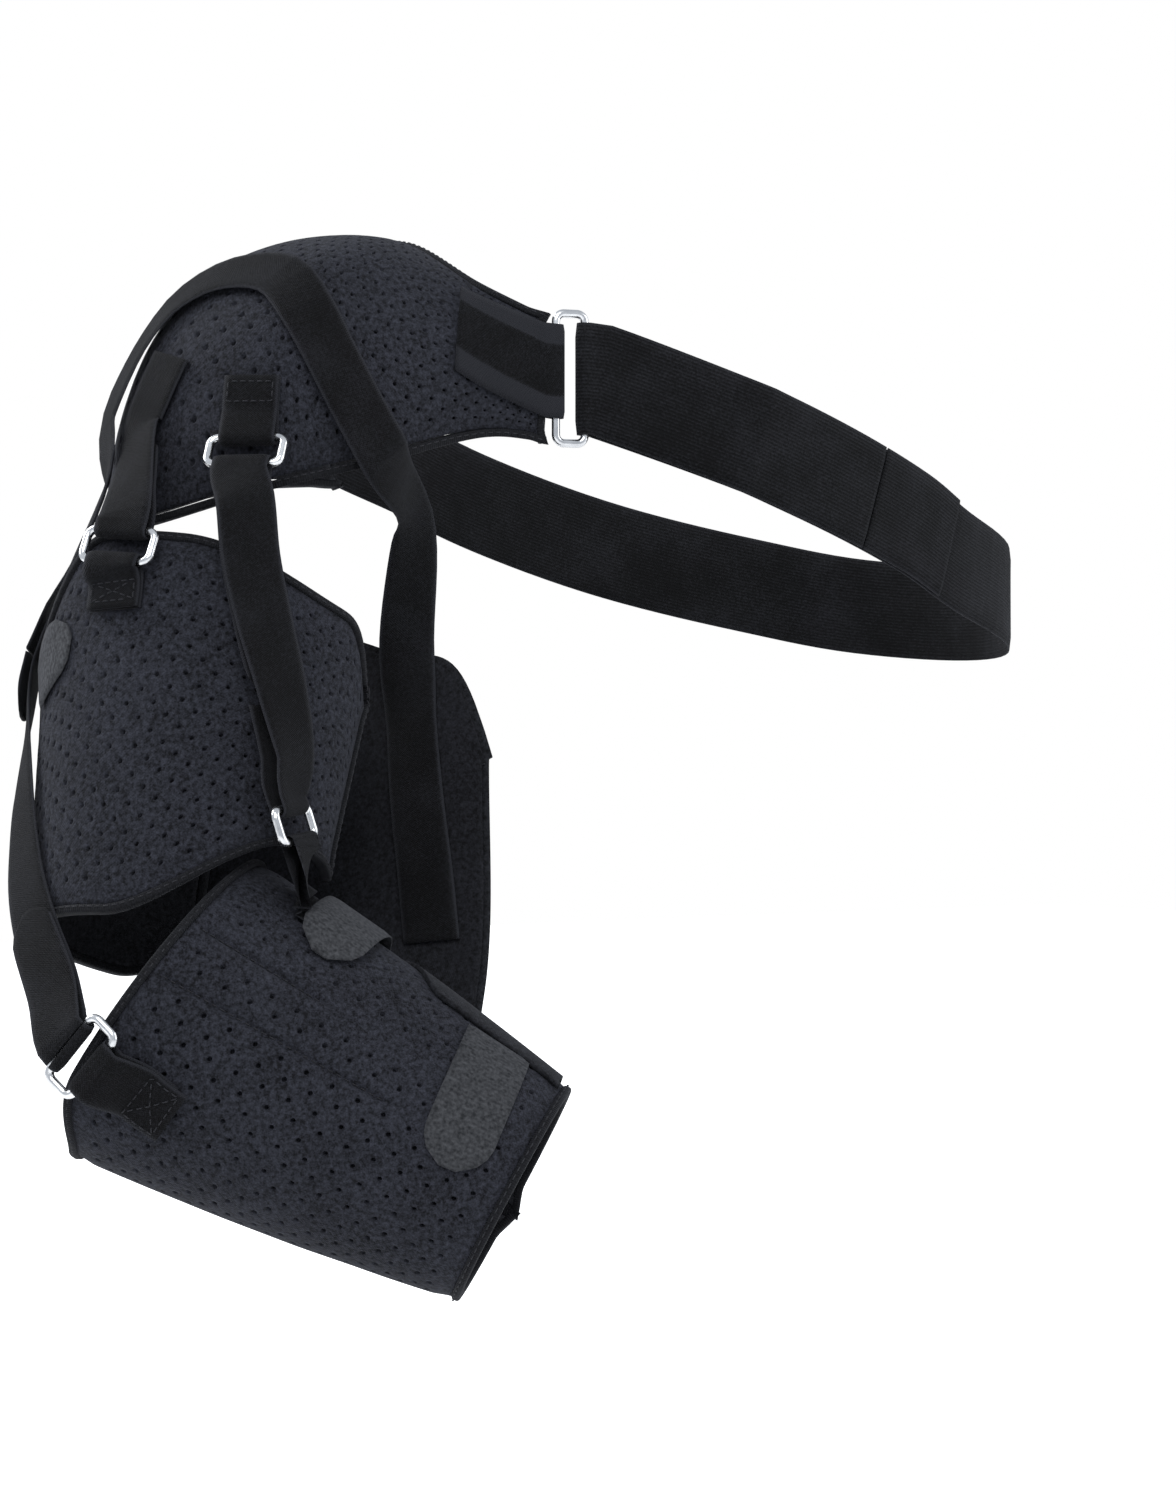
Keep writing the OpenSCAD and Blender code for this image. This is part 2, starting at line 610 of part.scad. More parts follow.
// Depth of the panel's near face behind the arm's middle, at s down the arm and p in front of it
panel_swell_top = 34;
panel_swell_low = 6;
function behind_cuff(s, p) =
    let (half = cuff_front_half(s), back = min(p + cuff_set_back(s), 0) / half)
    cuff_side_half(s) * sqrt(max(0, 1 - back * back))
    - mix(panel_swell_top, panel_swell_low, smooth((s - 120) / 110)) * smooth((p - 15) / 95);
function behind_forearm(s, p) =
    let (q = arm_dir * s + front_dir * p - elbow)
    let (along = q * forearm_dir, up = q * upper_dir)
    let (rest = 1 - pow(up / forearm_top_half(along), 2))
    rest <= 0 || along < -12 ? 0 : forearm_side_half(along) * sqrt(rest);
function panel_point(s, p, lift) =
    arm_dir * s + front_dir * p - outer_dir * (max(behind_cuff(s, p), behind_forearm(s, p)) + lift);
panel_lift = binding_lift + 2 * layer_gap;
panel_t = 2.4;
backing_t = 1.2;
// The panel's outline: a from its sewn edge to its free edge, b from its top to its foot
function panel_top(a) = cuff_start + 14 - 18 * smooth(a / 0.5);
function panel_foot(a) = arm_length + mix(-24, 16, smooth((a - 0.15) / 0.85));
function panel_sheet(a, b, lift, grow = 0) =
    let (s = mix(panel_top(a) - grow, panel_foot(a), b))
    let (free = mix(97, 112, smooth((s - 110) / 120)))
    panel_point(s, mix(-16, free + grow, a), panel_lift + lift);

module medial_panel() {
    color(cloth_colour)
        skin(function (a, b, lift) panel_sheet(a, b, lift), 14, 16, 0, panel_t);
}

module medial_panel_backing() {
    color(cloth_colour)
        skin(function (a, b, lift) panel_sheet(a, b, lift, 3), 14, 16,
            panel_t + layer_gap, panel_t + layer_gap + backing_t);
}

// ---- Strap over the shoulder ----

over_lift = -layer_gap - webbing_t / 2;
// Distance down the arm to the elbow strap's sewn end, under the end of the strap over the shoulder
elbow_strap_top = cuff_start + 22;
// Place behind the arm: distance down it, in front of it and outwards; it faces backwards
function behind_arm(down, front, out) =
    [arm_dir * down + front_dir * front + outer_dir * out, unit(-front_dir + 0.15 * outer_dir)];
function panel_seat(s, p) =
    let (near = face_normal(function (a, b) panel_point(a, b, 0), s, p))
    [panel_point(s, p, panel_lift) - near * (over_lift - 0.9 * smooth((210 - s) / 30)), near];
over_shoulder_knots = [
    panel_seat(arm_length - 51, 92), panel_seat(arm_length - 75, 86), panel_seat(cuff_start + 58, 78),
    panel_seat(cuff_start + 26, 71), [panel_point(cuff_start, 64.5, -8.5), unit(outer_dir +
        0.12 * front_dir)],
    [arm_dir * 62 + front_dir * 60 - outer_dir * 0, unit(outer_dir + 0.6 * front_dir)],
    cap_seat(0.275, 0.985, 9.3), cap_seat(0.305, 0.87, 5.6), cap_seat(0.348, 0.73, 3.2),
    cap_seat(0.39, 0.61, 2.5), cap_seat(0.445, 0.5, 2.5), cap_seat(0.515, 0.48, 2.5),
    cap_seat(0.565, 0.54, 2.8), cap_seat(0.59, 0.63, 3.6), cap_seat(0.605, 0.73, 5),
    cap_seat(0.618, 0.82, 6), behind_arm(cuff_start - 33, -55.5, 14), behind_arm(cuff_start - 20, -58, 9),
    behind_arm(cuff_start - 2, -63.5, 2), arm_seat(elbow_strap_top - 6, -94, -1.7),
        arm_seat(elbow_strap_top + 6, -96, 2.4)];
over_hook_start = arm_seat(elbow_strap_top + 14, -96.5, 5.2);

module over_shoulder_strap() {
    color(strap_colour)
        ribbon(smooth_route(concat(over_shoulder_knots, [over_hook_start]), 76), webbing_w, webbing_t);
}

// The strap's free end, hooked on the elbow strap
module over_shoulder_hook_end() {
    route = smooth_route([[over_hook_start[0] + arm_dir * 0.8, over_hook_start[1]],
        arm_seat(elbow_strap_top + 26, -97.5, 7.2), arm_seat(elbow_strap_top + 39, -97, 7.7)], 12);
    color(strap_colour)
        ribbon(route, webbing_w, webbing_t, round_end = true);
}

// ---- Elbow suspension: strap, ring, forearm cuff ----

elbow_tab_turn = -38;
function forearm_around(s, turn) = unit(forearm_at(s, turn + 1, 0) - forearm_at(s, turn - 1, 0));
elbow_frame = frame(forearm_at(-8, -35.5, ring_lift + 0.2),
    unit(forearm_dir - 0.22 * forearm_around(-2, -36) + 0.3 * forearm_normal(-2, -36)),
    forearm_normal(-2, -36));
elbow_loop = loop_down(upper_bar(elbow_frame, ring_window_h), elbow_frame[1], elbow_frame[3], loop_r);
// The strap from its sewn end to the ring: share of the way down the arm, angle, lift, angle it faces
elbow_steps = [[0, -95, -3, -95], [0.0585, -96, 0.7, -95], [0.117, -97, 3.7, -93], [0.199, -95, 4.6, -90],
    [0.304, -89, 4.6, -80], [0.409, -82, 4.6, -70], [0.5145, -76, 4.4, -62], [0.6315, -68, 4, -52],
    [0.7485, -57, 3, -43], [0.8655, -43, 3, -34]];
elbow_knots = concat(
    [for (k = elbow_steps)
        let (s = mix(elbow_strap_top, upper_bar(elbow_frame, ring_window_h) * arm_dir, k[0]))
        [arm_at(s, k[1], k[2]), arm_normal(s, k[3])]],
    [for (reach = [4, 0]) [elbow_loop[loop_steps][0] - elbow_frame[1] * reach,
        -elbow_loop[loop_steps][1]]]);
elbow_inner = smooth_route(elbow_knots, 44);

module elbow_strap() {
    color(strap_colour)
        ribbon(concat(elbow_inner,
            reversed([for (i = [0:loop_steps - 1]) [elbow_loop[i][0], -elbow_loop[i][1]]])),
            webbing_w, webbing_t);
}

// The strap's free end, folded back through the elbow ring and hooked on outside
module elbow_strap_fold() {
    route = concat(
        [moved(elbow_loop[0], -elbow_frame[1] * 0.6)],
        [for (i = [43:-1:30])
            let (depth = mix(layer_pitch + 0.2, 2 * loop_r, smooth((i - 38) / 6)))
            [elbow_inner[i][0] + elbow_inner[i][1] * depth, elbow_inner[i][1]]]);
    color(strap_colour)
        ribbon(route, webbing_w, webbing_t, round_end = true);
}

module elbow_ring() {
    wire_ring(elbow_frame, ring_window_l, ring_window_h, ring_corner);
}

module elbow_tab() {
    loop = loop_down(lower_bar(elbow_frame, ring_window_h), -elbow_frame[1], elbow_frame[3], loop_r);
    outer = smooth_route([
        forearm_seat(29, elbow_tab_turn - 4, second_layer), forearm_seat(20, elbow_tab_turn - 2.5,
            second_layer),
        forearm_seat(14, elbow_tab_turn - 1, second_layer + 0.3), moved(loop[0], elbow_frame[1] * 5.4),
        moved(loop[0], elbow_frame[1] * 2.7), loop[0]], 16);
    inner = smooth_route([
        loop[loop_steps], moved(loop[loop_steps], elbow_frame[1] * 2.5), moved(loop[loop_steps],
            elbow_frame[1] * 5),
        forearm_seat(13, elbow_tab_turn - 1, first_layer, -1), forearm_seat(24, elbow_tab_turn - 3.5,
            first_layer, -1)], 12);
    color(strap_colour)
        ribbon(distinct(concat(outer, loop, inner)), webbing_w, webbing_t);
}

// ---- Hook tabs that close the cuffs ----

flap_t = 1.6;
tab_lift = layer_gap + hook_t / 2;
// The closing flap's free edge, as an angle round the forearm
function flap_edge(s) = mix(97, 57, smooth((s - 62) / 26));
function flap_sheet(a, b, lift) =
    let (s = mix(28, forearm_length - binding_w - 2, a))
    forearm_at(s, mix(flap_edge(s), 120, b), lift);

module forearm_closing_flap() {
    color(foam_colour)
        skin(function (a, b, lift) flap_sheet(a, b, lift), 16, 12, layer_gap, layer_gap + flap_t);
}

module wrist_hook_tab() {
    route = [for (i = [0:14])
        let (turn = mix(flap_edge(120) - 2.6, -14, i / 14), s = mix(115, 121, i / 14))
        forearm_seat(s, turn, tab_lift)];
    color(hook_colour)
        ribbon(route, hook_tab_w, hook_t, round_end = true);
}

module elbow_hook_tab() {
    over_foot = first_layer + webbing_t / 2 + 1.1;
    route = [for (i = [0:12])
        let (turn = mix(flap_edge(45) - 1.3, 34, i / 12))
        let (lift = tab_lift + 0.3 +
            (over_foot - 0.3) * smooth((94 - turn) / 14) * smooth((turn - 30) / 16))
        forearm_seat(mix(49, 45, i / 12), turn, lift)];
    color(hook_colour)
        ribbon(route, hook_tab_w, hook_t, round_end = true);
}

module upper_arm_hook_tab() {
    route = [for (i = [0:6])
        arm_seat(cuff_start + mix(53, 37, i / 6), mix(-79.5, -53, i / 6), tab_lift)];
    color(hook_colour)
        ribbon(route, hook_tab_w, hook_t, round_end = true);
}

// ---- Chest strap ----

// The chest's outline: half its width and half its depth, and the strap's height at an angle
chest_depth_half = 107;
chest_middle = [wing_reach + 107, -2];
function round_chest(angle, z, lift) =
    let (c = cos(angle), s = -sin(angle))
    let (n = unit([c * chest_depth_half, s * chest_half, 0]))
    [[chest_middle[0] + chest_half * c, chest_middle[1] + chest_depth_half * s, z] + n * lift, n];
chest_steps = [[106, -29], [88, -47.5], [72, -64], [56, -80], [28, -91], [0, -94],
    [-28, -90], [-50, -80], [-73, -66], [-95, -48], [-111, -33]];

// Place on the strap's run round the chest: t from 0 at the front to 1 at the back
function chest_run(t, lift, facing = 1) =
    let (k = curve(chest_steps, t), q = round_chest(k[0], k[1], lift))
    [q[0], facing * q[1]];
// The wing's end edge, and the way that the strap leaves it
wing_edge = unit(cap_face(0, 0) - cap_face(0, 1));
wing_leave = let (v = cap_face(0, 0.5) - cap_face(0.03, 0.5)) unit(v - wing_edge * (v * wing_edge));
chest_bar_reach = 4.2;
chest_ring_frame = frame(
    cap_at(0, 0.5, -(foam_t + lining_t - binding_lift) / 2)
        + wing_leave * (chest_bar_reach + chest_window_h / 2 + wire_r),
    wing_leave, cross(wing_edge, wing_leave) * sign(cross(wing_edge, wing_leave) * cap_normal(0.01, 0.5)));
chest_loop_r = wire_r + layer_gap + chest_t / 2;
chest_loop = loop_down(lower_bar(chest_ring_frame, chest_window_h),
    -chest_ring_frame[1], chest_ring_frame[3], chest_loop_r);
back_seat_lift = binding_lift + 1.5 * layer_gap + chest_t / 2;

// The tab lies on the cap's outside, passes round the ring's bar and ends under the cap
chest_tab_w = 36;
chest_tab_middle = 0.45;
module chest_ring_tab() {
    under = -foam_t - lining_t - first_layer;
    bar = upper_bar(chest_ring_frame, chest_window_h);
    loop = loop_down(bar, chest_ring_frame[1], chest_ring_frame[3], loop_r);
    steps = 6;
    function place(a, j) =
        chest_tab_middle + (j / steps - 0.5) * chest_tab_w / norm(curve(cap_inner_edge,
            a) - curve(cap_outer_edge, a));
    function across(j) =
        -wing_edge * ((place(0, j) - 0.5) * norm(cap_inner_edge[0] - cap_outer_edge[0]));
    rows = concat(
        [for (a = [0.185:-0.0165:0.02]) [for (j = [0:steps]) cap_seat(a, place(a, j), first_layer)]],
        [[for (j = [0:steps]) cap_seat(0.004, place(0, j), first_layer + 0.1)]],
        [for (i = [0:loop_steps]) [for (j = [0:steps]) [loop[i][0] + across(j), loop[i][1]]]],
        [for (a = [0.004:0.014:0.06]) [for (j = [0:steps]) cap_seat(a, place(a, j), under - 0.2, -1)]]);
    last = len(rows) - 1;
    color(strap_colour)
        skin(function (a, b, lift) let (k = rows[round(a * last)][round(b * steps)]) k[0] + k[1] * lift,
            last, steps, -webbing_t / 2, webbing_t / 2);
}

module chest_ring() {
    wire_ring(chest_ring_frame, chest_window_l, chest_window_h, ring_corner);
}

// Shares of the run that the strap's outer layer and its hook end cover
fold_share = 0.145;
hook_share = 0.255;
module chest_strap() {
    outer = smooth_route(concat(
        [for (i = [0:8]) chest_run(mix(fold_share, 0.03, i / 8), chest_t + layer_gap)],
        [moved(chest_loop[0], chest_ring_frame[1] * 4.5), chest_loop[0]]), 22);
    inner = concat(
        smooth_route([chest_loop[loop_steps], moved(chest_loop[loop_steps], chest_ring_frame[1] * 4.5),
            chest_run(0.03, 0, -1), chest_run(0.06, 0, -1)], 12),
        [for (i = [6:70]) chest_run(i / 70, 0, -1)],
        smooth_route([chest_run(1, 0, -1), cap_seat(0.99, 0.5, back_seat_lift, -1),
            cap_seat(0.93, 0.5, back_seat_lift, -1), cap_seat(0.87, 0.5, back_seat_lift, -1)], 15));
    color(strap_colour)
        ribbon(distinct(concat(outer, chest_loop, inner)), chest_w, chest_t);
}

module chest_strap_hook_end() {
    route = [for (i = [0:10]) chest_run(mix(fold_share + 0.002, hook_share, i / 10), chest_t + layer_gap)];
    color(strap_colour)
        ribbon(route, chest_w, chest_t, round_end = false);
}

// ---- The object ----

shoulder_cap();
shoulder_cap_lining();
shoulder_cap_binding();
chest_ring_tab();
chest_ring();
chest_strap();
chest_strap_hook_end();
upper_arm_cuff();
upper_arm_cuff_lining();
upper_arm_cuff_binding();
upper_arm_hook_tab();
medial_panel();
medial_panel_backing();
forearm_cuff();
forearm_cuff_lining();
forearm_cuff_binding();
forearm_closing_flap();
wrist_hook_tab();
elbow_hook_tab();
front_tab();
front_upper_ring();
front_strap();
front_strap_fold();
front_lower_ring();
front_lower_tab();
side_strap();
side_strap_fold();
side_ring();
side_tab();
over_shoulder_strap();
over_shoulder_hook_end();
elbow_strap();
elbow_strap_fold();
elbow_ring();
elbow_tab();
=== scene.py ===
"""Arm sling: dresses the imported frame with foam, webbing, hook tape and chrome rings."""
import json
import math

import bmesh
import bpy
import numpy as np
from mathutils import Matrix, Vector, noise


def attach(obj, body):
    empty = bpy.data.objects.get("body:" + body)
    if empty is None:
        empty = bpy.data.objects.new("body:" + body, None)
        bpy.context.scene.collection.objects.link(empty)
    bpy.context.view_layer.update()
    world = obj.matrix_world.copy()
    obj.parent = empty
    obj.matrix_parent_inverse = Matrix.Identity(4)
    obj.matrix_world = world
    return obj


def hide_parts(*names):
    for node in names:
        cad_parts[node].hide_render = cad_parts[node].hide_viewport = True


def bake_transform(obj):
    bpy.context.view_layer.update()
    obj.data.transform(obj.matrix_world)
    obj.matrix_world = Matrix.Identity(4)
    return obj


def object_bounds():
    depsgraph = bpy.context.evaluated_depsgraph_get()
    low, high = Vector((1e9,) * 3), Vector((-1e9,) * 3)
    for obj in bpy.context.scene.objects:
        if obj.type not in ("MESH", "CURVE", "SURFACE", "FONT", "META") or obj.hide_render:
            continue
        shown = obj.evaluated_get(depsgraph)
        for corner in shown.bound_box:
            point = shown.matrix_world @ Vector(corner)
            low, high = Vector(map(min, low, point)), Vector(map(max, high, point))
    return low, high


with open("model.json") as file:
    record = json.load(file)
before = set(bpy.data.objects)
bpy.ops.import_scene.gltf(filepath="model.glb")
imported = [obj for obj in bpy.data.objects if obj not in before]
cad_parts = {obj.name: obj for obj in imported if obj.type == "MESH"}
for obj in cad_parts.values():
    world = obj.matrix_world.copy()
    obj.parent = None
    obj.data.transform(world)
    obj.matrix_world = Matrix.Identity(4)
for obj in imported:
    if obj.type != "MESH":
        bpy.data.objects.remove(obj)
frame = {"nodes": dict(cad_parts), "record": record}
cad_bounds = [list(corner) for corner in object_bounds()]

# ---- Sizes, in millimetres, as the part has them ----

MM = 0.001
CAP_TOP, CAP_REACH, CAP_DROP = 46, 66, 72
WING_REACH, FRONT_WING, BACK_WING, WING_HEIGHT = 71, 75, 85, 49
FRONT_WING_Z, BACK_WING_Z = -13, -20
FOAM, LINING, BINDING = 3.6, 0.8, 3.2
BINDING_LIFT, LAYER_GAP = 0.4, 0.3
CUFF_START, CUFF_LENGTH = 102, 144
CUFF_HALF_TOP, CUFF_HALF_LOW, CUFF_SIDE_TOP, CUFF_SIDE_LOW = 65, 52, 53, 50
CUFF_TURNS = (-188, 84)
ARM_LENGTH = 265
FOREARM_LENGTH = 145
FOREARM_HALF_NEAR, FOREARM_HALF_FAR, FOREARM_SIDE_NEAR, FOREARM_SIDE_FAR = 63, 43, 57, 40
FOREARM_TURNS = (-179, 177)
PANEL_SWELL_TOP, PANEL_SWELL_LOW = 34, 6
PANEL, BACKING, FLAP = 2.4, 1.2, 1.6
WEBBING_W, WEBBING_T, CHEST_W = 21.5, 1.5, 43
WIRE = 1.6
CHEST_TAB_W, CHEST_TAB_MIDDLE, CHEST_BAR_REACH = 36, 0.45, 4.2
FIRST_LAYER = LAYER_GAP + BINDING_LIFT + WEBBING_T / 2
LOOP_R = WIRE + LAYER_GAP + WEBBING_T / 2

# ---- Details that only the looks have, in millimetres ----

# Holes in the foam: (share of the radius, depth) of the rings that make one hole
HOLE_PITCH, HOLE_ROW, HOLE_R, HOLE_DEPTH = 5.2, 4.9, 0.95, 2.4
HOLE_PROFILE = ((1.45, 0), (1, 0.3), (0.8, HOLE_DEPTH))
HOLE_SIDES, WHOLE_CELL = 8, 0.8  # a cell smaller than this share of the pitch has no hole
# A grid's rim band, the shares of it where lines lie, and the lines beside a seam
RIM = 6
RIM_LINES = (0, 0.22, 0.55)
SEAM_LINES, SEAM_CLEAR = (-1.6, -0.6, 0, 0.6, 1.6), 1.9
# How far from a rim a sheet sinks and its unevenness fades out, and the size of that unevenness
SINK, SINK_REACH, FADE_REACH = 0.9, 7, 6
UNEVEN_SIZE, UNEVEN_FOAM, UNEVEN_CLOTH = 26, 0.25, 0.15
# Thread: (share of the stitch, lift, share of the radius) along one stitch
STITCH_PITCH, STITCH, THREAD_R, THREAD_SIDES = 3.3, 2.3, 0.26, 5
STITCH_PROFILE = ((0, -0.3, 0.6), (0.2, 0.05, 1), (0.8, 0.05, 1), (1, -0.3, 0.6))
STITCH_LIFT, STITCH_REACH, STITCH_MARKS = 0.15, 0.82, 8
# Edge tape: its section's sides and corner powers, its step, and its puckers
TAPE_SIDES, TAPE_STEP, TAPE_ROUND_OUT, TAPE_ROUND_UP, TAPE_GIRTH = 14, 2.2, 0.55, 0.5, 16
PUCKER, PUCKER_PITCH = 0.12, 6.6
# Webbing: points across, step along, closest two rows, its round selvedge's width and fall, its unevenness
STRIP_COLUMNS, STRIP_STEP, STRIP_CLOSEST, SELVEDGE, SELVEDGE_FALL = 9, 1.8, 0.35, 0.9, 0.9
STRIP_UNEVEN_SIZE, STRIP_UNEVEN = 14, 0.06

# ---- Directions of the arm, from the frame's elbow joint ----

JOINTS = {joint["name"]: joint for joint in frame["record"]["behaviour"]["joints"]}
MOUNTS = {mount["name"]: mount for mount in frame["record"]["mounts"]}


def unit(v):
    """The vector at length one."""
    v = np.array(v, float)
    return v / np.linalg.norm(v)


ELBOW = np.array(JOINTS["elbow_flex"]["pos_m"]) / MM
OUTER = unit(JOINTS["elbow_flex"]["axis"])
ARM = unit(ELBOW)
FRONT = np.cross(OUTER, ARM)
FOREARM = unit(MOUNTS["forearm"]["axis"])
UPPER = np.cross(OUTER, FOREARM)


def mix(a, b, t):
    """The value at share t of the way from a to b."""
    return a + (b - a) * t


def smooth(t):
    """An even step from 0 to 1."""
    t = min(max(t, 0.0), 1.0)
    return t * t * (3 - 2 * t)


def curve(points, t):
    """Catmull-Rom curve through points, t from 0 to 1."""
    last = len(points) - 1
    i = int(min(max(math.floor(t * last), 0), last - 1))
    x = t * last - i
    p1, p2 = points[i], points[i + 1]
    p0 = points[i - 1] if i > 0 else 2 * points[0] - points[1]
    p3 = points[i + 2] if i < last - 1 else 2 * points[last] - points[last - 1]
    return 0.5 * (2 * p1 + (p2 - p0) * x + (2 * p0 - 5 * p1 + 4 * p2 - p3) * x * x
                  + (3 * p1 - p0 - 3 * p2 + p3) * x ** 3)


# ---- Surfaces, each a point for (a, b, lift, margin) in millimetres ----

CAP_INNER = np.array([
    (WING_REACH, -FRONT_WING, WING_HEIGHT / 2 + FRONT_WING_Z),
    (WING_REACH - 18, 17 - FRONT_WING, CAP_TOP - 22),
    (50, -24, CAP_TOP - 6), (49, -6, CAP_TOP - 1), (50, 8, CAP_TOP), (53, 26, CAP_TOP - 3),
    (WING_REACH - 20, BACK_WING - 33, CAP_TOP - 14),
    (WING_REACH, BACK_WING, WING_HEIGHT / 2 + BACK_WING_Z)], float)
CAP_OUTER = np.array([
    (WING_REACH, -FRONT_WING, -WING_HEIGHT / 2 + FRONT_WING_Z),
    (WING_REACH - 24, 9 - FRONT_WING, 35 - CAP_DROP),
    (0, 4 - CAP_REACH, 22 - CAP_DROP), (28 - CAP_REACH, -50, 12 - CAP_DROP),
    (-CAP_REACH, -2, -CAP_DROP), (18 - CAP_REACH, 52, 6 - CAP_DROP),
    (20, BACK_WING - 11, 22 - CAP_DROP),
    (WING_REACH, BACK_WING, -WING_HEIGHT / 2 + BACK_WING_Z)], float)
CAP_BULGE = np.array([
    (0, -2, 0), (-3, -8, 4), (-15, -12, 22), (-26, -13, 29), (-30, 2, 33), (-21, 5, 24),
    (-8, 9, 13), (0, 2, 0)], float)
CAP_ALONG, CAP_ACROSS = 330, 130
CAP_ARC = 1.15  # the cap's width along its bulge, as a share of the straight width


def cap_width(a):
    """Straight distance between the cap's two edges."""
    return np.linalg.norm(curve(CAP_INNER, a) - curve(CAP_OUTER, a))


def cap_face(a, b):
    """Outer face of the cap: a goes from the front wing to the back wing, b from the inner edge to the
    outer one."""
    return mix(curve(CAP_INNER, a), curve(CAP_OUTER, a), b) + 4 * b * (1 - b) * curve(CAP_BULGE, a)


def normal_of(face, a, b, e=0.002):
    """Outward direction of a face, from places a small share e to each side."""
    return unit(np.cross(face(a + e, b) - face(a - e, b), face(a, b + e) - face(a, b - e)))


def cap_sheet(a, b, lift, margin):
    along = margin / CAP_ALONG
    a = mix(along, 1 - along, a)
    across = margin / cap_width(a) / CAP_ARC
    b = mix(across, 1 - across, b)
    return cap_face(a, b) + lift * normal_of(cap_face, a, b)


def cuff_front_half(s):
    return mix(CUFF_HALF_TOP, CUFF_HALF_LOW, (s - CUFF_START) / CUFF_LENGTH)


def cuff_set_back(s):
    return mix(8, 2, (s - CUFF_START) / CUFF_LENGTH)


def cuff_side_half(s):
    return mix(CUFF_SIDE_TOP, CUFF_SIDE_LOW, (s - CUFF_START) / CUFF_LENGTH)


def arm_at(s, turn, lift):
    """A point on the upper arm cuff: s along the arm from the shoulder, turn in degrees from the outer side."""
    t = math.radians(turn)
    return (ARM * s + OUTER * (cuff_side_half(s) + lift) * math.cos(t)
            + FRONT * ((cuff_front_half(s) + lift) * math.sin(t) - cuff_set_back(s)))


def cuff_upper_edge(turn):
    return (CUFF_START + 13 * smooth((turn + 10) / 62) + 26 * smooth((turn - 44) / 40) ** 2
            + 34 * smooth((-turn - 38) / 48) - 22 * smooth((-turn - 120) / 50))


def cuff_lower_edge(turn):
    return CUFF_START + CUFF_LENGTH - 38.5 * smooth((abs(turn + 90) - 63) / 80)


def cuff_sheet(a, b, lift, margin):
    side = math.degrees(margin / CUFF_HALF_LOW)
    turn = mix(CUFF_TURNS[0] + side, CUFF_TURNS[1] - side, b)
    return arm_at(mix(cuff_upper_edge(turn) + margin, cuff_lower_edge(turn) - margin, a), turn, lift)


def forearm_top_half(s):
    share = s / FOREARM_LENGTH
    return mix(FOREARM_HALF_NEAR, FOREARM_HALF_FAR, share) + 2 * math.sin(math.pi * share)


def forearm_side_half(s):
    return mix(FOREARM_SIDE_NEAR, FOREARM_SIDE_FAR, s / FOREARM_LENGTH)


def forearm_at(s, turn, lift):
    """A point on the forearm cuff: s along the forearm from the elbow, turn in degrees from the outer side."""
    t = math.radians(turn)
    return (ELBOW + FOREARM * s + OUTER * (forearm_side_half(s) + lift) * math.cos(t)
            + UPPER * (forearm_top_half(s) + lift) * math.sin(t))


def forearm_near_edge(turn):
    return 8 * math.sin(math.radians(turn)) - 4 + 9 * smooth((-turn - 45) / 40)


def forearm_sheet(a, b, lift, margin):
    side = math.degrees(margin / FOREARM_HALF_FAR)
    turn = mix(FOREARM_TURNS[0] + side, FOREARM_TURNS[1] - side, b)
    return forearm_at(mix(forearm_near_edge(turn) + margin, FOREARM_LENGTH - margin, a), turn, lift)


def behind_cuff(s, p):
    """Depth of the cuff's inner side behind the arm's middle plane, at s down the arm and p to the front."""
    back = min(p + cuff_set_back(s), 0) / cuff_front_half(s)
    swell = mix(PANEL_SWELL_TOP, PANEL_SWELL_LOW, smooth((s - 120) / 110)) * smooth((p - 15) / 95)
    return cuff_side_half(s) * math.sqrt(max(0, 1 - back * back)) - swell


def behind_forearm(s, p):
    """Depth of the forearm cuff's inner side, at the same place; 0 where it doesn't reach."""
    q = ARM * s + FRONT * p - ELBOW
    along, up = q @ FOREARM, q @ UPPER
    rest = 1 - (up / forearm_top_half(along)) ** 2
    return 0 if rest <= 0 or along < -12 else forearm_side_half(along) * math.sqrt(rest)


def panel_sheet(a, b, lift, margin, grow=0):
    """The inner panel, with a round free corner at its top; grow makes it larger at the top and the front."""
    top = CUFF_START + 14 - 18 * smooth(a / 0.5) - grow
    top += 8 * smooth((a - 0.45) / 0.28) + 37 * max(0.0, (a - 0.75) / 0.25) ** 2.6
    s = mix(top, ARM_LENGTH + mix(-24, 16, smooth((a - 0.15) / 0.85)), b)
    p = mix(-16, mix(97, 112, smooth((s - 110) / 120)) + grow, a)
    depth = max(behind_cuff(s, p), behind_forearm(s, p)) + BINDING_LIFT + 2 * LAYER_GAP + lift
    return ARM * s + FRONT * p - OUTER * depth


def flap_edge(s):
    """Angle of the closing flap's edge."""
    return mix(97, 57, smooth((s - 62) / 26))


def flap_sheet(a, b, lift, margin):
    s = mix(28, FOREARM_LENGTH - BINDING - 2, a)
    return forearm_at(s, mix(flap_edge(s), 120, b), lift)


# ---- Meshes ----

def make_object(name, verts, faces, uvs, material):
    """Mesh object from millimetre points; uvs holds one millimetre pair for each vertex."""
    mesh = bpy.data.meshes.new(name)
    mesh.from_pydata([tuple(p * MM) for p in verts], [], faces)
    layer = mesh.uv_layers.new(name="cloth")
    index = np.empty(len(mesh.loops), int)
    mesh.loops.foreach_get("vertex_index", index)
    layer.data.foreach_set("uv", (np.array(uvs, float)[index] * 0.1).ravel())
    mesh.materials.append(material)
    bm = bmesh.new()
    bm.from_mesh(mesh)
    bmesh.ops.recalc_face_normals(bm, faces=bm.faces)
    bm.to_mesh(mesh)
    bm.free()
    mesh.shade_smooth()
    obj = bpy.data.objects.new(name, mesh)
    bpy.context.scene.collection.objects.link(obj)
    return obj


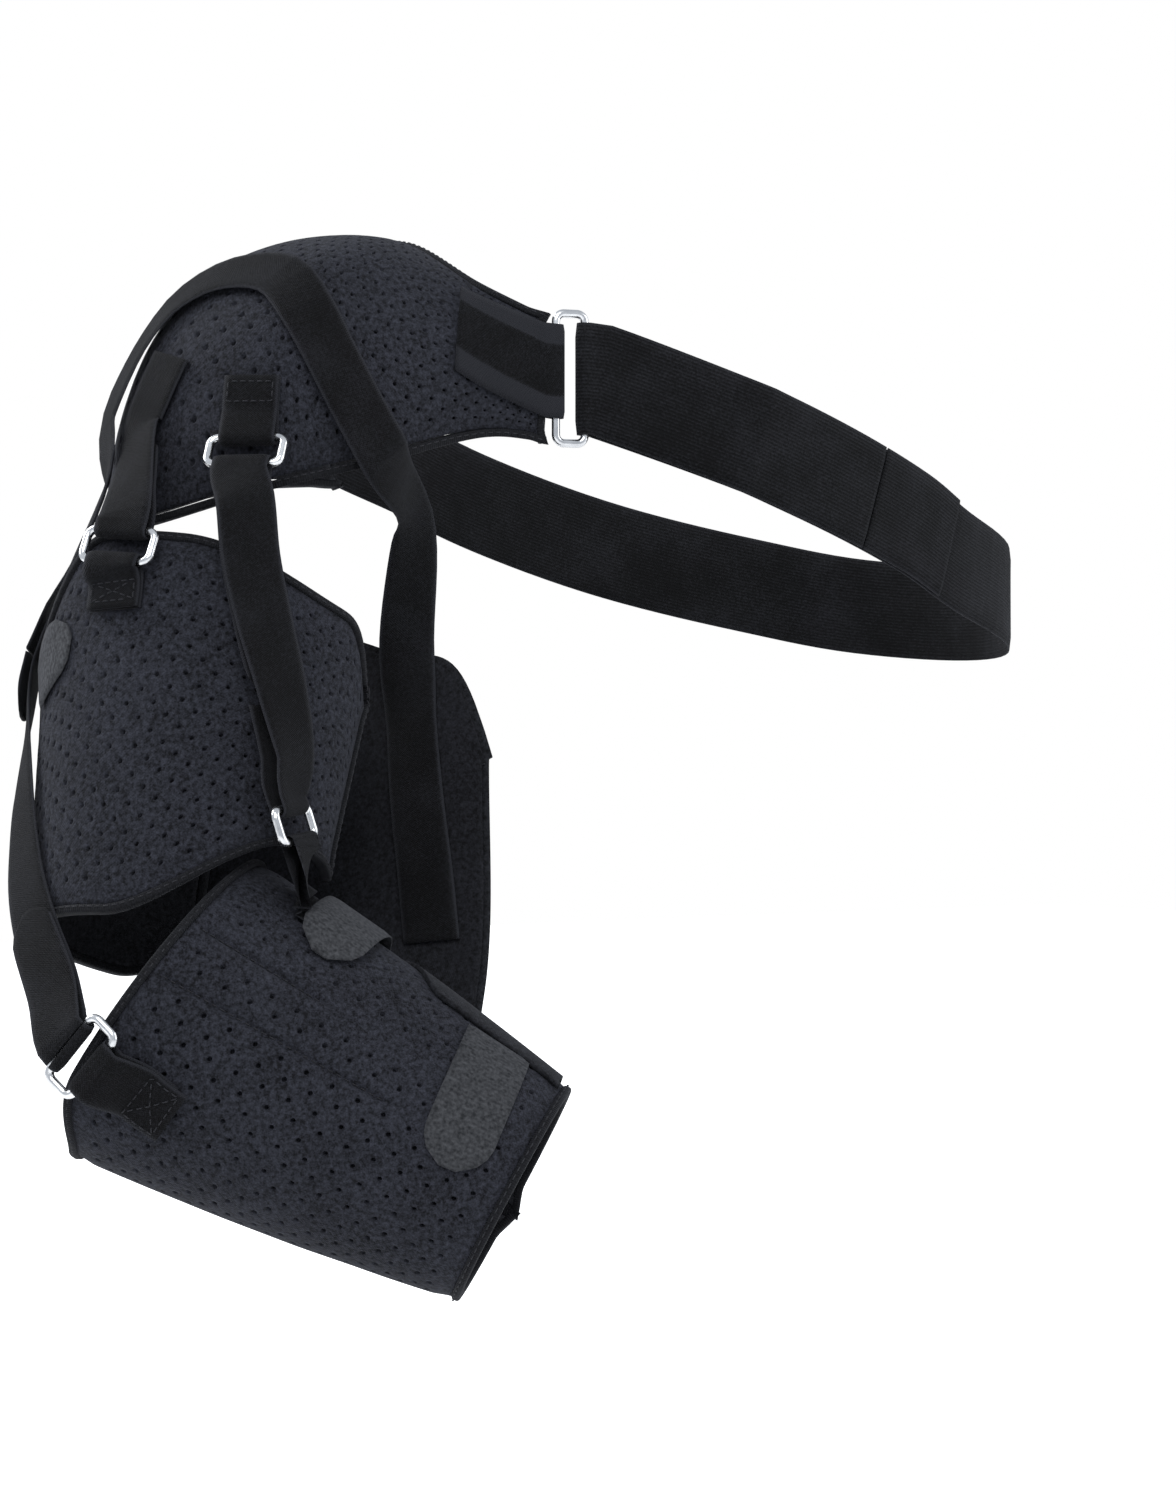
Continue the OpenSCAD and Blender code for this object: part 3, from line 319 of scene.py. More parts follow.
def grid_faces(rows, columns, offset=0, flip=False):
    """Quads between the points of a grid that starts at offset."""
    faces = []
    for i in range(rows - 1):
        for j in range(columns - 1):
            a = offset + i * columns + j
            quad = (a, a + 1, a + columns + 1, a + columns)
            faces.append(quad[::-1] if flip else quad)
    return faces


def tube_faces(rows, size):
    """Faces round and between closed rows of size points, with a face on each end."""
    faces = [(i * size + j, i * size + (j + 1) % size, (i + 1) * size + (j + 1) % size, (i + 1) * size + j)
             for i in range(rows - 1) for j in range(size)]
    return faces + [tuple(range(size)), tuple((rows - 1) * size + j for j in range(size))]


def rounded(a, b, along, across, radius):
    """Moves a place on the unit square so that a sheet's corners are round, radius in millimetres."""
    x, y = (a - 0.5) * along, (b - 0.5) * across
    dx, dy = abs(x) - (along / 2 - radius), abs(y) - (across / 2 - radius)
    if dx > 0 and dy > 0:
        share = max(dx, dy) / math.hypot(dx, dy)
        x += math.copysign(dx * (share - 1), x)
        y += math.copysign(dy * (share - 1), y)
    return x / along + 0.5, y / across + 0.5


def soft(p, size, height):
    """Small unevenness of cloth at a point, in millimetres."""
    return noise.noise(Vector(p / size)) * height


def distances(points):
    """Distance of each point from the first, along the line through them."""
    return np.concatenate([[0], np.cumsum(np.linalg.norm(np.diff(points, axis=0), axis=1))])


def resampled(values, at, places):
    """Rows of values, known at some distances, read at other distances."""
    return np.array([np.interp(places, at, values[:, k]) for k in range(values.shape[1])]).T


def slab(name, shape, cells, along, across, low, high, margin, material, radius, uneven):
    """Closed sheet between two lifts of a surface."""
    rows, columns = cells[0] + 1, cells[1] + 1
    verts, uvs = [], []
    for lift in (high, low):
        for i in range(rows):
            for j in range(columns):
                a, b = rounded(i / cells[0], j / cells[1], along, across, radius)
                rim = min(min(a, 1 - a) * along, min(b, 1 - b) * across)
                wave = soft(shape(a, b, lift, margin), UNEVEN_SIZE, uneven) * smooth(rim / FADE_REACH)
                verts.append(shape(a, b, lift + wave, margin))
                uvs.append((a * along, b * across))
    count = rows * columns
    faces = grid_faces(rows, columns, flip=True) + grid_faces(rows, columns, count)
    rim = ([i * columns for i in range(rows)]
           + [(rows - 1) * columns + j for j in range(1, columns)]
           + [i * columns + columns - 1 for i in range(rows - 2, -1, -1)]
           + [j for j in range(columns - 2, 0, -1)])
    for k, here in enumerate(rim):
        after = rim[(k + 1) % len(rim)]
        faces.append((here, after, after + count, here + count))
    return make_object(name, verts, faces, uvs, material)


def grid_lines(length, pitch, seams=()):
    """Places of a grid's lines in millimetres: close at the rims and at seams, a pitch apart between."""
    count = round((length - 2 * RIM) / pitch)
    middle = [mix(RIM, length - RIM, k / count) for k in range(count + 1)]
    rims = [share * RIM for share in RIM_LINES]
    clear = [x for x in middle if all(abs(x - s) > SEAM_CLEAR for s in seams)]
    lines = rims + clear + [length - x for x in rims]
    return sorted(lines + [s + d for s in seams for d in SEAM_LINES])


def foam_slab(name, shape, along, across, radius, material, seams, relief):
    """Foam with rows of small round holes in its outer face, which sinks towards the rim."""
    xs, ys = grid_lines(along, HOLE_ROW), grid_lines(across, HOLE_PITCH, seams)
    verts, uvs, faces = [], [], []

    def add(x, y, depth, face=True):
        a, b = rounded(x / along, y / across, along, across, radius)
        rim = min(a * along, (1 - a) * along, b * across, (1 - b) * across)
        lift = -FOAM
        if face:
            wave = soft(np.array([x, y, 0]), UNEVEN_SIZE, UNEVEN_FOAM)
            lift = -depth - SINK * (1 - smooth(rim / SINK_REACH)) + smooth(rim / FADE_REACH) * wave
            lift += relief(a, b) if relief else 0
        verts.append(shape(a, b, lift, BINDING))
        uvs.append((x, y))
        return len(verts) - 1

    turns = [math.radians(225 + 360 / HOLE_SIDES * k) for k in range(HOLE_SIDES)]
    face = [[add(x, y, 0) for y in ys] for x in xs]
    back = [[add(x, y, 0, False) for y in ys] for x in xs]
    n, m = len(xs) - 1, len(ys) - 1
    for i in range(n):
        for j in range(m):
            faces.append((back[i][j], back[i][j + 1], back[i + 1][j + 1], back[i + 1][j]))
            corners = (face[i][j], face[i + 1][j], face[i + 1][j + 1], face[i][j + 1])
            whole = min((xs[i + 1] - xs[i]) / HOLE_ROW, (ys[j + 1] - ys[j]) / HOLE_PITCH) > WHOLE_CELL
            if (i + j) % 2 or not whole:
                faces.append(corners)
                continue
            x, y = (xs[i] + xs[i + 1]) / 2, (ys[j] + ys[j + 1]) / 2
            rings = []
            for share, depth in HOLE_PROFILE:
                reach = HOLE_R * share
                rings.append([add(x + reach * math.cos(t), y + reach * math.sin(t), depth) for t in turns])
            for k in range(4):
                three = [rings[0][(2 * k + s) % HOLE_SIDES] for s in (2, 1, 0)]
                faces.append((corners[k], corners[(k + 1) % 4], *three))
            for upper, lower in zip(rings, rings[1:]):
                for k in range(HOLE_SIDES):
                    after = (k + 1) % HOLE_SIDES
                    faces.append((upper[k], upper[after], lower[after], lower[k]))
            faces.append(tuple(rings[-1]))
    rim = ([(i, 0) for i in range(n)] + [(n, j) for j in range(m)]
           + [(i, m) for i in range(n, 0, -1)] + [(0, j) for j in range(m, 0, -1)])
    for here, after in zip(rim, rim[1:] + rim[:1]):
        faces.append((face[here[0]][here[1]], face[after[0]][after[1]],
                      back[after[0]][after[1]], back[here[0]][here[1]]))
    return make_object(name, verts, faces, uvs, material)


def thread(name, runs, material):
    """Rows of raised stitches; each run is a list of (point, outward direction) in millimetres."""
    verts, uvs, faces = [], [], []
    for run in runs:
        points, ups = np.array([p for p, _ in run]), np.array([u for _, u in run])
        at = distances(points)
        for k in range(int(at[-1] / STITCH_PITCH)):
            start = (k + 0.5) * STITCH_PITCH - STITCH / 2
            for share, lift, radius in STITCH_PROFILE:
                d = start + share * STITCH
                p, up = (resampled(v, at, [d])[0] for v in (points, ups))
                ahead = unit(resampled(points, at, [d + 0.4])[0] - resampled(points, at, [d - 0.4])[0])
                side = unit(np.cross(up, ahead))
                for c in range(THREAD_SIDES):
                    t = 2 * math.pi * c / THREAD_SIDES
                    verts.append(p + unit(up) * (lift + THREAD_R * radius * math.cos(t))
                                 + side * THREAD_R * radius * math.sin(t))
                    uvs.append((c, d))
            rings = [range(r, r + THREAD_SIDES)
                     for r in range(len(verts) - len(STITCH_PROFILE) * THREAD_SIDES, len(verts), THREAD_SIDES)]
            for here, after in zip(rings, rings[1:]):
                for c in range(THREAD_SIDES):
                    far = (c + 1) % THREAD_SIDES
                    faces.append((here[c], here[far], after[far], after[c]))
            faces += [tuple(rings[0]), tuple(rings[-1])]
    return make_object(name, verts, faces, uvs, material)


def face_run(shape, places, lift, margin):
    """A run for stitches on a sheet, through places (a, b)."""
    out = []
    for a, b in places:
        p = shape(a, b, lift, margin)
        out.append((p, unit(shape(a, b, lift + 1, margin) - p)))
    return out


def rim_places(along, across, radius, step):
    """Places round the edge of a rounded sheet, about a step apart."""
    n, m = max(8, int(along / step)), max(8, int(across / step))
    square = ([(i / n, 0) for i in range(n)] + [(1, j / m) for j in range(m)]
              + [(i / n, 1) for i in range(n, 0, -1)] + [(0, j / m) for j in range(m, 0, -1)])
    return [rounded(a, b, along, across, radius) for a, b in square]


def edge_tape(name, shape, along, across, radius, material):
    """Folded tape round the edge of a sheet, with small puckers."""
    places = rim_places(along, across, radius, TAPE_STEP)
    height = FOAM + LINING
    middle = -height / 2 + BINDING_LIFT / 2
    centre = [shape(a, b, middle, 0) for a, b in places]
    count = len(places)
    verts, uvs, length = [], [], 0.0
    for k, (a, b) in enumerate(places):
        ahead = unit(centre[(k + 1) % count] - centre[k - 1])
        out = unit(shape(a, b, middle + 1, 0) - centre[k])
        away = unit(np.cross(ahead, out))
        inward = shape(mix(a, 0.5, 0.02), mix(b, 0.5, 0.02), middle, 0) - centre[k]
        if away @ inward > 0:
            away = -away
        pucker = PUCKER * math.sin(length * 2 * math.pi / PUCKER_PITCH)
        for m in range(TAPE_SIDES):
            t = 2 * math.pi * m / TAPE_SIDES
            x, y = math.cos(t), math.sin(t)
            side = math.copysign(abs(x) ** TAPE_ROUND_OUT, x) * BINDING / 2 - BINDING / 2
            half = height / 2 + BINDING_LIFT / 2 + pucker * (x < 0)
            lift = math.copysign(abs(y) ** TAPE_ROUND_UP, y) * half
            verts.append(centre[k] + away * side + out * lift)
            uvs.append((m / TAPE_SIDES * TAPE_GIRTH, length))
        length += np.linalg.norm(centre[(k + 1) % count] - centre[k])
    faces = []
    for k in range(count):
        here, after = k * TAPE_SIDES, (k + 1) % count * TAPE_SIDES
        for m in range(TAPE_SIDES):
            far = (m + 1) % TAPE_SIDES
            faces.append((here + m, here + far, after + far, after + m))
    return make_object(name, verts, faces, uvs, material)


def stations(node):
    """The frame's ribbon read back as stations: centre, half width vector and half thickness vector.
    It starts at a flat end of four corners and goes from each ring of four corners to the next."""
    bm = bmesh.new()
    bm.from_mesh(frame["nodes"][node].data)
    bmesh.ops.remove_doubles(bm, verts=bm.verts, dist=1e-6)
    near = {v: {e.other_vert(v) for e in v.link_edges} for v in bm.verts}

    def around(group):
        return set().union(*(near[v] for v in group)) - group

    def in_order(group):
        """A set has no fixed order, so its corners are sorted: each run then gives the same ribbon."""
        return sorted(group, key=lambda v: tuple(v.co))

    ring, order = None, None
    for edge in bm.edges:
        one, two = edge.link_faces
        four = set(one.verts) | set(two.verts)
        if len(four) == 4 and len(around(four)) == 4:
            tips = in_order(four - set(edge.verts))
            order = [tips[0], edge.verts[0], tips[1], edge.verts[1]]
            ring = four
            break
    done, rings = set(), []
    while ring:
        rings.append(order)
        done |= ring
        following = around(ring) - done
        if len(following) != 4:
            break
        free = in_order(following)
        best = min(([free[(s + d * i) % 4] for i in range(4)] for free in permuted(free)
                    for s in range(4) for d in (1, -1)),
                   key=lambda c: sum((x.co - y.co).length for x, y in zip(order, c)))
        ring, order = following, best
    corners = np.array([[tuple(v.co) for v in four] for four in rings]) / MM
    bm.free()
    first, second, third = corners[0][:3]
    if np.linalg.norm(first - second) < np.linalg.norm(second - third):
        corners = np.roll(corners, 1, axis=1)
    centre = corners.mean(axis=1)
    side = (corners[:, 0] + corners[:, 3] - corners[:, 1] - corners[:, 2]) / 4
    up = (corners[:, 0] + corners[:, 1] - corners[:, 2] - corners[:, 3]) / 4
    return centre, side, up


STATIONS = {}  # what stations() gave for each strip


def strip_run(node, marks, face):
    """A run for stitches on a strip, through marks (distance along it, place across it from -1 to 1)."""
    centre, side, up = STATIONS[node]
    at = distances(centre)
    out = []
    for (d0, x0), (d1, x1) in zip(marks, marks[1:]):
        for k in range(STITCH_MARKS + 1):
            d, x = mix(d0, d1, k / STITCH_MARKS), mix(x0, x1, k / STITCH_MARKS)
            c, s, u = (resampled(v, at, [d])[0] for v in (centre, side, up))
            out.append((c + s * x + u * face + unit(u) * face * STITCH_LIFT, unit(u) * face))
    return out


def end_box(node, origin, axis, start, end, cross):
    """The stitched box on the outer face of a strip's end farther from the axis, start and end measured
    from that end, with a cross in it where cross is true."""
    centre, _, up = STATIONS[node]
    away = [p - origin - axis * ((p - origin) @ axis) for p in (centre[0], centre[-1])]
    last = int(np.linalg.norm(away[1]) > np.linalg.norm(away[0]))
    face = 1 if up[-last] @ away[last] > 0 else -1
    if last:
        length = np.linalg.norm(np.diff(centre, axis=0), axis=1).sum()
        start, end = length - start, length - end
    lines = [[(start, -STITCH_REACH), (end, -STITCH_REACH), (end, STITCH_REACH), (start, STITCH_REACH),
              (start, -STITCH_REACH)]]
    if cross:
        lines += [[(start, -STITCH_REACH), (end, STITCH_REACH)], [(start, STITCH_REACH), (end, -STITCH_REACH)]]
    return [strip_run(node, line, face) for line in lines]


def permuted(free):
    """The three ways to order four corners in a ring, apart from where it starts and which way it goes."""
    a, b, c, d = free
    return [[a, b, c, d], [a, c, b, d], [a, b, d, c]]


def ribbon(name, node, material):
    """Webbing with round edges along a frame's ribbon; its UV runs across, then along."""
    centre, side, up = STATIONS[node] = stations(node)
    at = distances(centre)
    places = np.linspace(0, at[-1], max(4, int(at[-1] / STRIP_STEP) + 1))
    places = np.unique(np.concatenate([places, at]))
    places = places[np.concatenate([[True], np.diff(places) > STRIP_CLOSEST])]
    centre, side, up = (resampled(v, at, places) for v in (centre, side, up))
    verts, uvs = [], []
    turns = range(STRIP_COLUMNS)
    profile = [(1 - 2 * k / (STRIP_COLUMNS - 1), 1) for k in turns]
    profile += [(-1 + 2 * k / (STRIP_COLUMNS - 1), -1) for k in turns]
    size = len(profile)
    for k, v in enumerate(places):
        half = np.linalg.norm(side[k])
        # The front lower tab has one crossed row, which is without thickness
        outward = up[k] / max(np.linalg.norm(up[k]), 1e-9)
        for x, y in profile:
            edge = max(0.0, abs(x) - (1 - SELVEDGE / half)) * half / SELVEDGE
            lift = y * math.sqrt(max(0.0, 1 - edge * edge * SELVEDGE_FALL))
            p = centre[k] + side[k] * x + up[k] * lift
            p = p + outward * soft(centre[k] + side[k] * x * 0.3, STRIP_UNEVEN_SIZE, STRIP_UNEVEN)
            verts.append(p)
            uvs.append((x * half, v))
    return make_object(name, verts, tube_faces(len(places), size), uvs, material)


# ---- Materials ----

FIBRE_DETAIL = 3.0
SHEEN_ROUGHNESS, SHEEN_TINT, CLOTH_SPECULAR = 0.5, (0.5, 0.52, 0.6, 1), 0.13
CHROME_ROUGHNESS = (0.12, 0.3)
# Turns of a sine for each millimetre, in radians: foam's knit, and the twist of thread
KNIT_ACROSS, KNIT_ALONG = 5.2, 4.1
TWIST_ALONG, TWIST_ROUND = 9.0, 1.26
# The weft's pitch as a share of the warp's, and how narrow the lighter edge is
WEFT_PITCH, EDGE_SHARPNESS = 0.8, 22


def new_material(name):
    """A material, its node tree and its shader."""
    material = bpy.data.materials.new(name)
    material.use_nodes = True
    tree = material.node_tree
    shader = tree.nodes["Principled BSDF"]
    return material, tree, shader


def node(tree, kind, **values):
    """A new node with the given settings."""
    made = tree.nodes.new(kind)
    for key, value in values.items():
        setattr(made, key, value)
    return made


def maths(tree, operation, *values):
    """The result of a Math node; each value is a number or another node's result."""
    made = node(tree, "ShaderNodeMath", operation=operation)
    for socket, value in zip(made.inputs, values):
        if isinstance(value, (int, float)):
            socket.default_value = value
        else:
            tree.links.new(value, socket)
    return made.outputs[0]


def cloth_uv(tree):
    """The surface's own place in millimetres: across and along. The UV map holds tenths of it."""
    place = node(tree, "ShaderNodeUVMap", uv_map="cloth")
    split = node(tree, "ShaderNodeSeparateXYZ")
    tree.links.new(place.outputs[0], split.inputs[0])
    return maths(tree, "MULTIPLY", split.outputs[0], 10), maths(tree, "MULTIPLY", split.outputs[1], 10)


def waves(tree, place, pitch):
    """A sine over a place in millimetres."""
    return maths(tree, "SINE", maths(tree, "MULTIPLY", place, 2 * math.pi / pitch))


def mixed(tree, a, share_a, b, share_b):
    """Two results added in shares."""
    return maths(tree, "ADD", maths(tree, "MULTIPLY", a, share_a), maths(tree, "MULTIPLY", b, share_b))


def shades(base, low, high):
    """A dark and a light tone of a colour."""
    return tuple(c * low for c in base), tuple(c * high for c in base)


def ramp(tree, factor, low, high, at):
    """Colour from low to high between two places of a factor."""
    made = node(tree, "ShaderNodeValToRGB")
    tree.links.new(factor, made.inputs[0])
    made.color_ramp.elements[0].position, made.color_ramp.elements[1].position = at
    made.color_ramp.elements[0].color = (*low, 1)
    made.color_ramp.elements[1].color = (*high, 1)
    return made.outputs[0]


def speckle(tree, scale, detail=FIBRE_DETAIL):
    """Fine fibre noise over the object's own space."""
    place = node(tree, "ShaderNodeTexCoord")
    made = node(tree, "ShaderNodeTexNoise")
    made.inputs["Scale"].default_value = scale
    made.inputs["Detail"].default_value = detail
    tree.links.new(place.outputs["Object"], made.inputs["Vector"])
    return made.outputs[0]


def bump(tree, shader, height, distance, strength):
    """Relief of the shader's surface, distance in metres."""
    made = node(tree, "ShaderNodeBump")
    made.inputs["Distance"].default_value = distance
    made.inputs["Strength"].default_value = strength
    tree.links.new(height, made.inputs["Height"])
    tree.links.new(made.outputs[0], shader.inputs["Normal"])


def set_cloth(shader, colour, roughness, sheen):
    """The constant values of a cloth, and its colour from a node."""
    shader.inputs["Roughness"].default_value = roughness
    shader.inputs["Sheen Weight"].default_value = sheen
    shader.inputs["Sheen Roughness"].default_value = SHEEN_ROUGHNESS
    shader.inputs["Sheen Tint"].default_value = SHEEN_TINT
    shader.inputs["Specular IOR Level"].default_value = CLOTH_SPECULAR
    shader.id_data.links.new(colour, shader.inputs["Base Color"])


def foam_material(name, base, grain):
    """Brushed knit on foam: a fine mottle of light fibres over small dark pores."""
    material, tree, shader = new_material(name)
    across, along = cloth_uv(tree)
    fibre = speckle(tree, scale=620, detail=4.0)
    pores = speckle(tree, scale=1500, detail=2.0)
    cloud = speckle(tree, scale=38, detail=2.0)
    knit = maths(tree, "MULTIPLY", maths(tree, "SINE", maths(tree, "MULTIPLY", across, KNIT_ACROSS)),
                 maths(tree, "SINE", maths(tree, "MULTIPLY", along, KNIT_ALONG)))
    mottle = mixed(tree, fibre, 0.62, pores, 0.38)
    shade = maths(tree, "ADD", mottle, maths(tree, "MULTIPLY", maths(tree, "SUBTRACT", cloud, 0.5), 0.12))
    colour = ramp(tree, shade, *shades(base, low=0.34, high=2.7), at=(0.37, 0.69))
    set_cloth(shader, colour, roughness=0.88, sheen=0.054)
    bump(tree, shader, mixed(tree, mottle, grain, knit, 0.12), distance=0.0006, strength=0.7)
    return material


def weave_material(name, base, pitch, edge, half, ribs=0.0):
    """Woven tape of a half width: fibre noise, ribs of warp and a lighter edge."""
    material, tree, shader = new_material(name)
    across, along = cloth_uv(tree)
    fibre = speckle(tree, scale=1200)
    warp = waves(tree, across, pitch)
    weave = maths(tree, "MULTIPLY", warp, waves(tree, along, pitch * WEFT_PITCH))
    if ribs:
        weave = mixed(tree, weave, 0.35, warp, ribs)
    cloud = maths(tree, "SUBTRACT", speckle(tree, scale=45, detail=2.0), 0.5)
    shade = mixed(tree, fibre, 0.8, weave, 0.08)
    shade = maths(tree, "ADD", shade, maths(tree, "MULTIPLY", cloud, 0.45))
    border = maths(tree, "DIVIDE", maths(tree, "ABSOLUTE", across), half)
    border = maths(tree, "POWER", maths(tree, "MINIMUM", border, 1.0), EDGE_SHARPNESS)
    shade = maths(tree, "ADD", shade, maths(tree, "MULTIPLY", border, edge))
    colour = ramp(tree, shade, *shades(base, low=0.2, high=2.6), at=(0.32, 0.9))
    set_cloth(shader, colour, roughness=0.85, sheen=0.045)
    bump(tree, shader, maths(tree, "ADD", maths(tree, "MULTIPLY", fibre, 0.5), weave),
         distance=0.00025, strength=0.6)
    return material


def tape_material(name, base):
    """Knitted binding tape: fine ribs across its width."""
    material, tree, shader = new_material(name)
    _, along = cloth_uv(tree)
    fibre = speckle(tree, scale=1100)
    ribs = waves(tree, along, pitch=0.9)
    shade = mixed(tree, fibre, 0.85, ribs, 0.06)
    colour = ramp(tree, shade, *shades(base, low=0.45, high=2.1), at=(0.25, 0.85))
    set_cloth(shader, colour, roughness=0.8, sheen=0.0675)
    bump(tree, shader, mixed(tree, fibre, 0.6, ribs, 0.5), distance=0.0002, strength=0.7)
    return material


def thread_material(name, base):
    """Twisted sewing thread."""
    material, tree, shader = new_material(name)
    across, along = cloth_uv(tree)
    twist = maths(tree, "SINE", mixed(tree, along, TWIST_ALONG, across, TWIST_ROUND))
    fibre = speckle(tree, scale=1800)
    shade = maths(tree, "ADD", maths(tree, "MULTIPLY", twist, 0.25), fibre)
    colour = ramp(tree, shade, *shades(base, low=0.6, high=1.7), at=(0.2, 0.8))
    set_cloth(shader, colour, roughness=0.6, sheen=0.045)
    bump(tree, shader, twist, distance=0.00008, strength=0.6)
    return material


def hook_material(name, dark, light):
    """Hook tape: a short fuzzy pile in fine rows."""
    material, tree, shader = new_material(name)
    _, along = cloth_uv(tree)
    fibre = speckle(tree, scale=700, detail=5.0)
    shade = mixed(tree, fibre, 0.95, waves(tree, along, pitch=1.6), 0.03)
    colour = ramp(tree, shade, dark, light, at=(0.28, 0.75))
    set_cloth(shader, colour, roughness=0.9, sheen=0.0675)
    bump(tree, shader, shade, distance=0.0005, strength=0.9)
    return material


def chrome_material(name, dark, light):
    """Polished wire with small wear in its colour, gloss and relief."""
    material, tree, shader = new_material(name)
    shader.inputs["Metallic"].default_value = 1
    wear = speckle(tree, scale=160, detail=4.0)
    tree.links.new(ramp(tree, wear, dark, light, at=(0.3, 0.6)), shader.inputs["Base Color"])
    rough = node(tree, "ShaderNodeMapRange")
    tree.links.new(wear, rough.inputs["Value"])
    rough.inputs["To Min"].default_value, rough.inputs["To Max"].default_value = CHROME_ROUGHNESS
    tree.links.new(rough.outputs[0], shader.inputs["Roughness"])
    bump(tree, shader, wear, distance=0.00005, strength=0.4)
    return material


FOAM_CLOTH = foam_material("foam_cloth", (0.0118, 0.0126, 0.0168), grain=1.0)
PLAIN_CLOTH = foam_material("lining_cloth", (0.0078, 0.0082, 0.0100), grain=0.5)
PANEL_CLOTH = foam_material("panel_cloth", (0.0060, 0.0063, 0.0080), grain=0.5)
TAPE = tape_material("binding_tape", (0.0070, 0.0074, 0.0092))
THREAD = thread_material("thread", (0.020, 0.0205, 0.024))
WEBBING = weave_material("webbing", (0.0062, 0.0065, 0.0080), pitch=1.1, edge=1.6, half=WEBBING_W / 2)
ELASTIC = weave_material("elastic", (0.0078, 0.0081, 0.0098), pitch=1.4, edge=0.2, half=CHEST_W / 2, ribs=0.9)
HOOK = hook_material("hook_tape", (0.015, 0.016, 0.018), (0.062, 0.064, 0.070))
CHROME = chrome_material("chrome_wire", (0.62, 0.63, 0.65), (0.86, 0.87, 0.88))

# ---- Pieces ----

# Widths of the cuffs laid flat, from a mean radius
FOREARM_MEAN_R = 50
CUFF_ACROSS = math.radians(CUFF_TURNS[1] - CUFF_TURNS[0]) * (CUFF_HALF_TOP + CUFF_SIDE_LOW) / 2
FOREARM_ACROSS = math.radians(FOREARM_TURNS[1] - FOREARM_TURNS[0]) * FOREARM_MEAN_R
# The lining keeps this far from the foam, and the thread lies this share of the tape's width from its edge
LINING_GAP, THREAD_PLACE, THREAD_STEP = 0.02, 0.62, 1.5


def sew(name, runs, body):
    """Stitches that ride on a body."""
    piece = thread(name, runs, THREAD)
    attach(piece, body)


def foam_piece(node_name, body, shape, cells, along, across, radius, seams=(), relief=None):
    """Foam, lining, binding and edge stitches of a cap or cuff."""
    foam = foam_slab("foam_" + node_name, shape, along, across, radius, FOAM_CLOTH, seams, relief)
    lining = slab("cloth_" + node_name, shape, cells, along, across, -FOAM - LINING, -FOAM - LINING_GAP,
                  BINDING, PLAIN_CLOTH, radius, uneven=0.0)
    tape = edge_tape("tape_" + node_name, shape, along, across, radius + BINDING, TAPE)
    for piece, stands_for, finish in ((foam, node_name, "perforated_foam"),
                                      (lining, node_name + "_lining", "lining"),
                                      (tape, node_name + "_binding", "binding")):
        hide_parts(stands_for)
        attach(piece, body)
    places = rim_places(along, across, radius + BINDING, THREAD_STEP)
    edge = face_run(shape, places + places[:1], BINDING_LIFT, THREAD_PLACE * BINDING)
    sew("thread_" + node_name, [edge], body)


# Two seams run along the outer side of the forearm cuff: angle round the forearm, and their far end
SEAMS = ((-2, 98), (19, 57))
SEAM_NEAR, SEAM_FADE, SEAM_STEP, SEAM_THREAD_LIFT = 2, 3, 3.0, -1.6
# Depth and width of the groove; height, distance and width of the ridge on each side of it
GROOVE, GROOVE_W, RIDGE, RIDGE_AWAY, RIDGE_W = 1.9, 1.1, 0.35, 2.4, 1.2


def seam_place(turn):
    """Distance of an angle from the cuff's edge, as a share of its width."""
    side = math.degrees(BINDING / FOREARM_HALF_FAR)
    return (turn - FOREARM_TURNS[0] - side) / (FOREARM_TURNS[1] - FOREARM_TURNS[0] - 2 * side)


def seam_relief(a, b):
    """Height of the foam's face at the seams: a narrow groove with a low ridge on each side."""
    depth = 0
    for turn, far in SEAMS:
        away = (b - seam_place(turn)) * FOREARM_ACROSS
        s = a * FOREARM_LENGTH
        inside = smooth((s - SEAM_NEAR) / SEAM_FADE) * smooth((far - s) / SEAM_FADE)
        groove = GROOVE * math.exp(-(away / GROOVE_W) ** 2)
        depth += inside * (groove - RIDGE * math.exp(-((abs(away) - RIDGE_AWAY) / RIDGE_W) ** 2))
    return -depth


foam_piece("shoulder_cap", "harness", cap_sheet, (96, 44), CAP_ALONG, CAP_ACROSS, 9)
foam_piece("upper_arm_cuff", "harness", cuff_sheet, (40, 96), CUFF_LENGTH - 20, CUFF_ACROSS, 12)
foam_piece("forearm_cuff", "forearm", forearm_sheet, (44, 108), FOREARM_LENGTH - 4, FOREARM_ACROSS, 9,
           seams=[seam_place(turn) * FOREARM_ACROSS for turn, _ in SEAMS], relief=seam_relief)
for number, (turn, far) in enumerate(SEAMS):
    seam = [(forearm_at(s, turn, SEAM_THREAD_LIFT), unit(forearm_at(s, turn, 1) - forearm_at(s, turn, 0)))
            for s in np.arange(SEAM_NEAR, far, SEAM_STEP)]
    sew("thread_seam_%d" % number, [seam], "forearm")


def backing_sheet(a, b, lift, margin):
    """The panel's backing, a little larger than the panel."""
    return panel_sheet(a, b, lift, margin, grow=3)


def cloth_piece(name, stands_for, shape, cells, flat, low, high, material, radius):
    """A sheet between two lifts of a surface; flat is its size laid out, in millimetres."""
    piece = slab(name, shape, cells, *flat, low, high, 0, material, radius, UNEVEN_CLOTH)
    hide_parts(stands_for)
    return piece


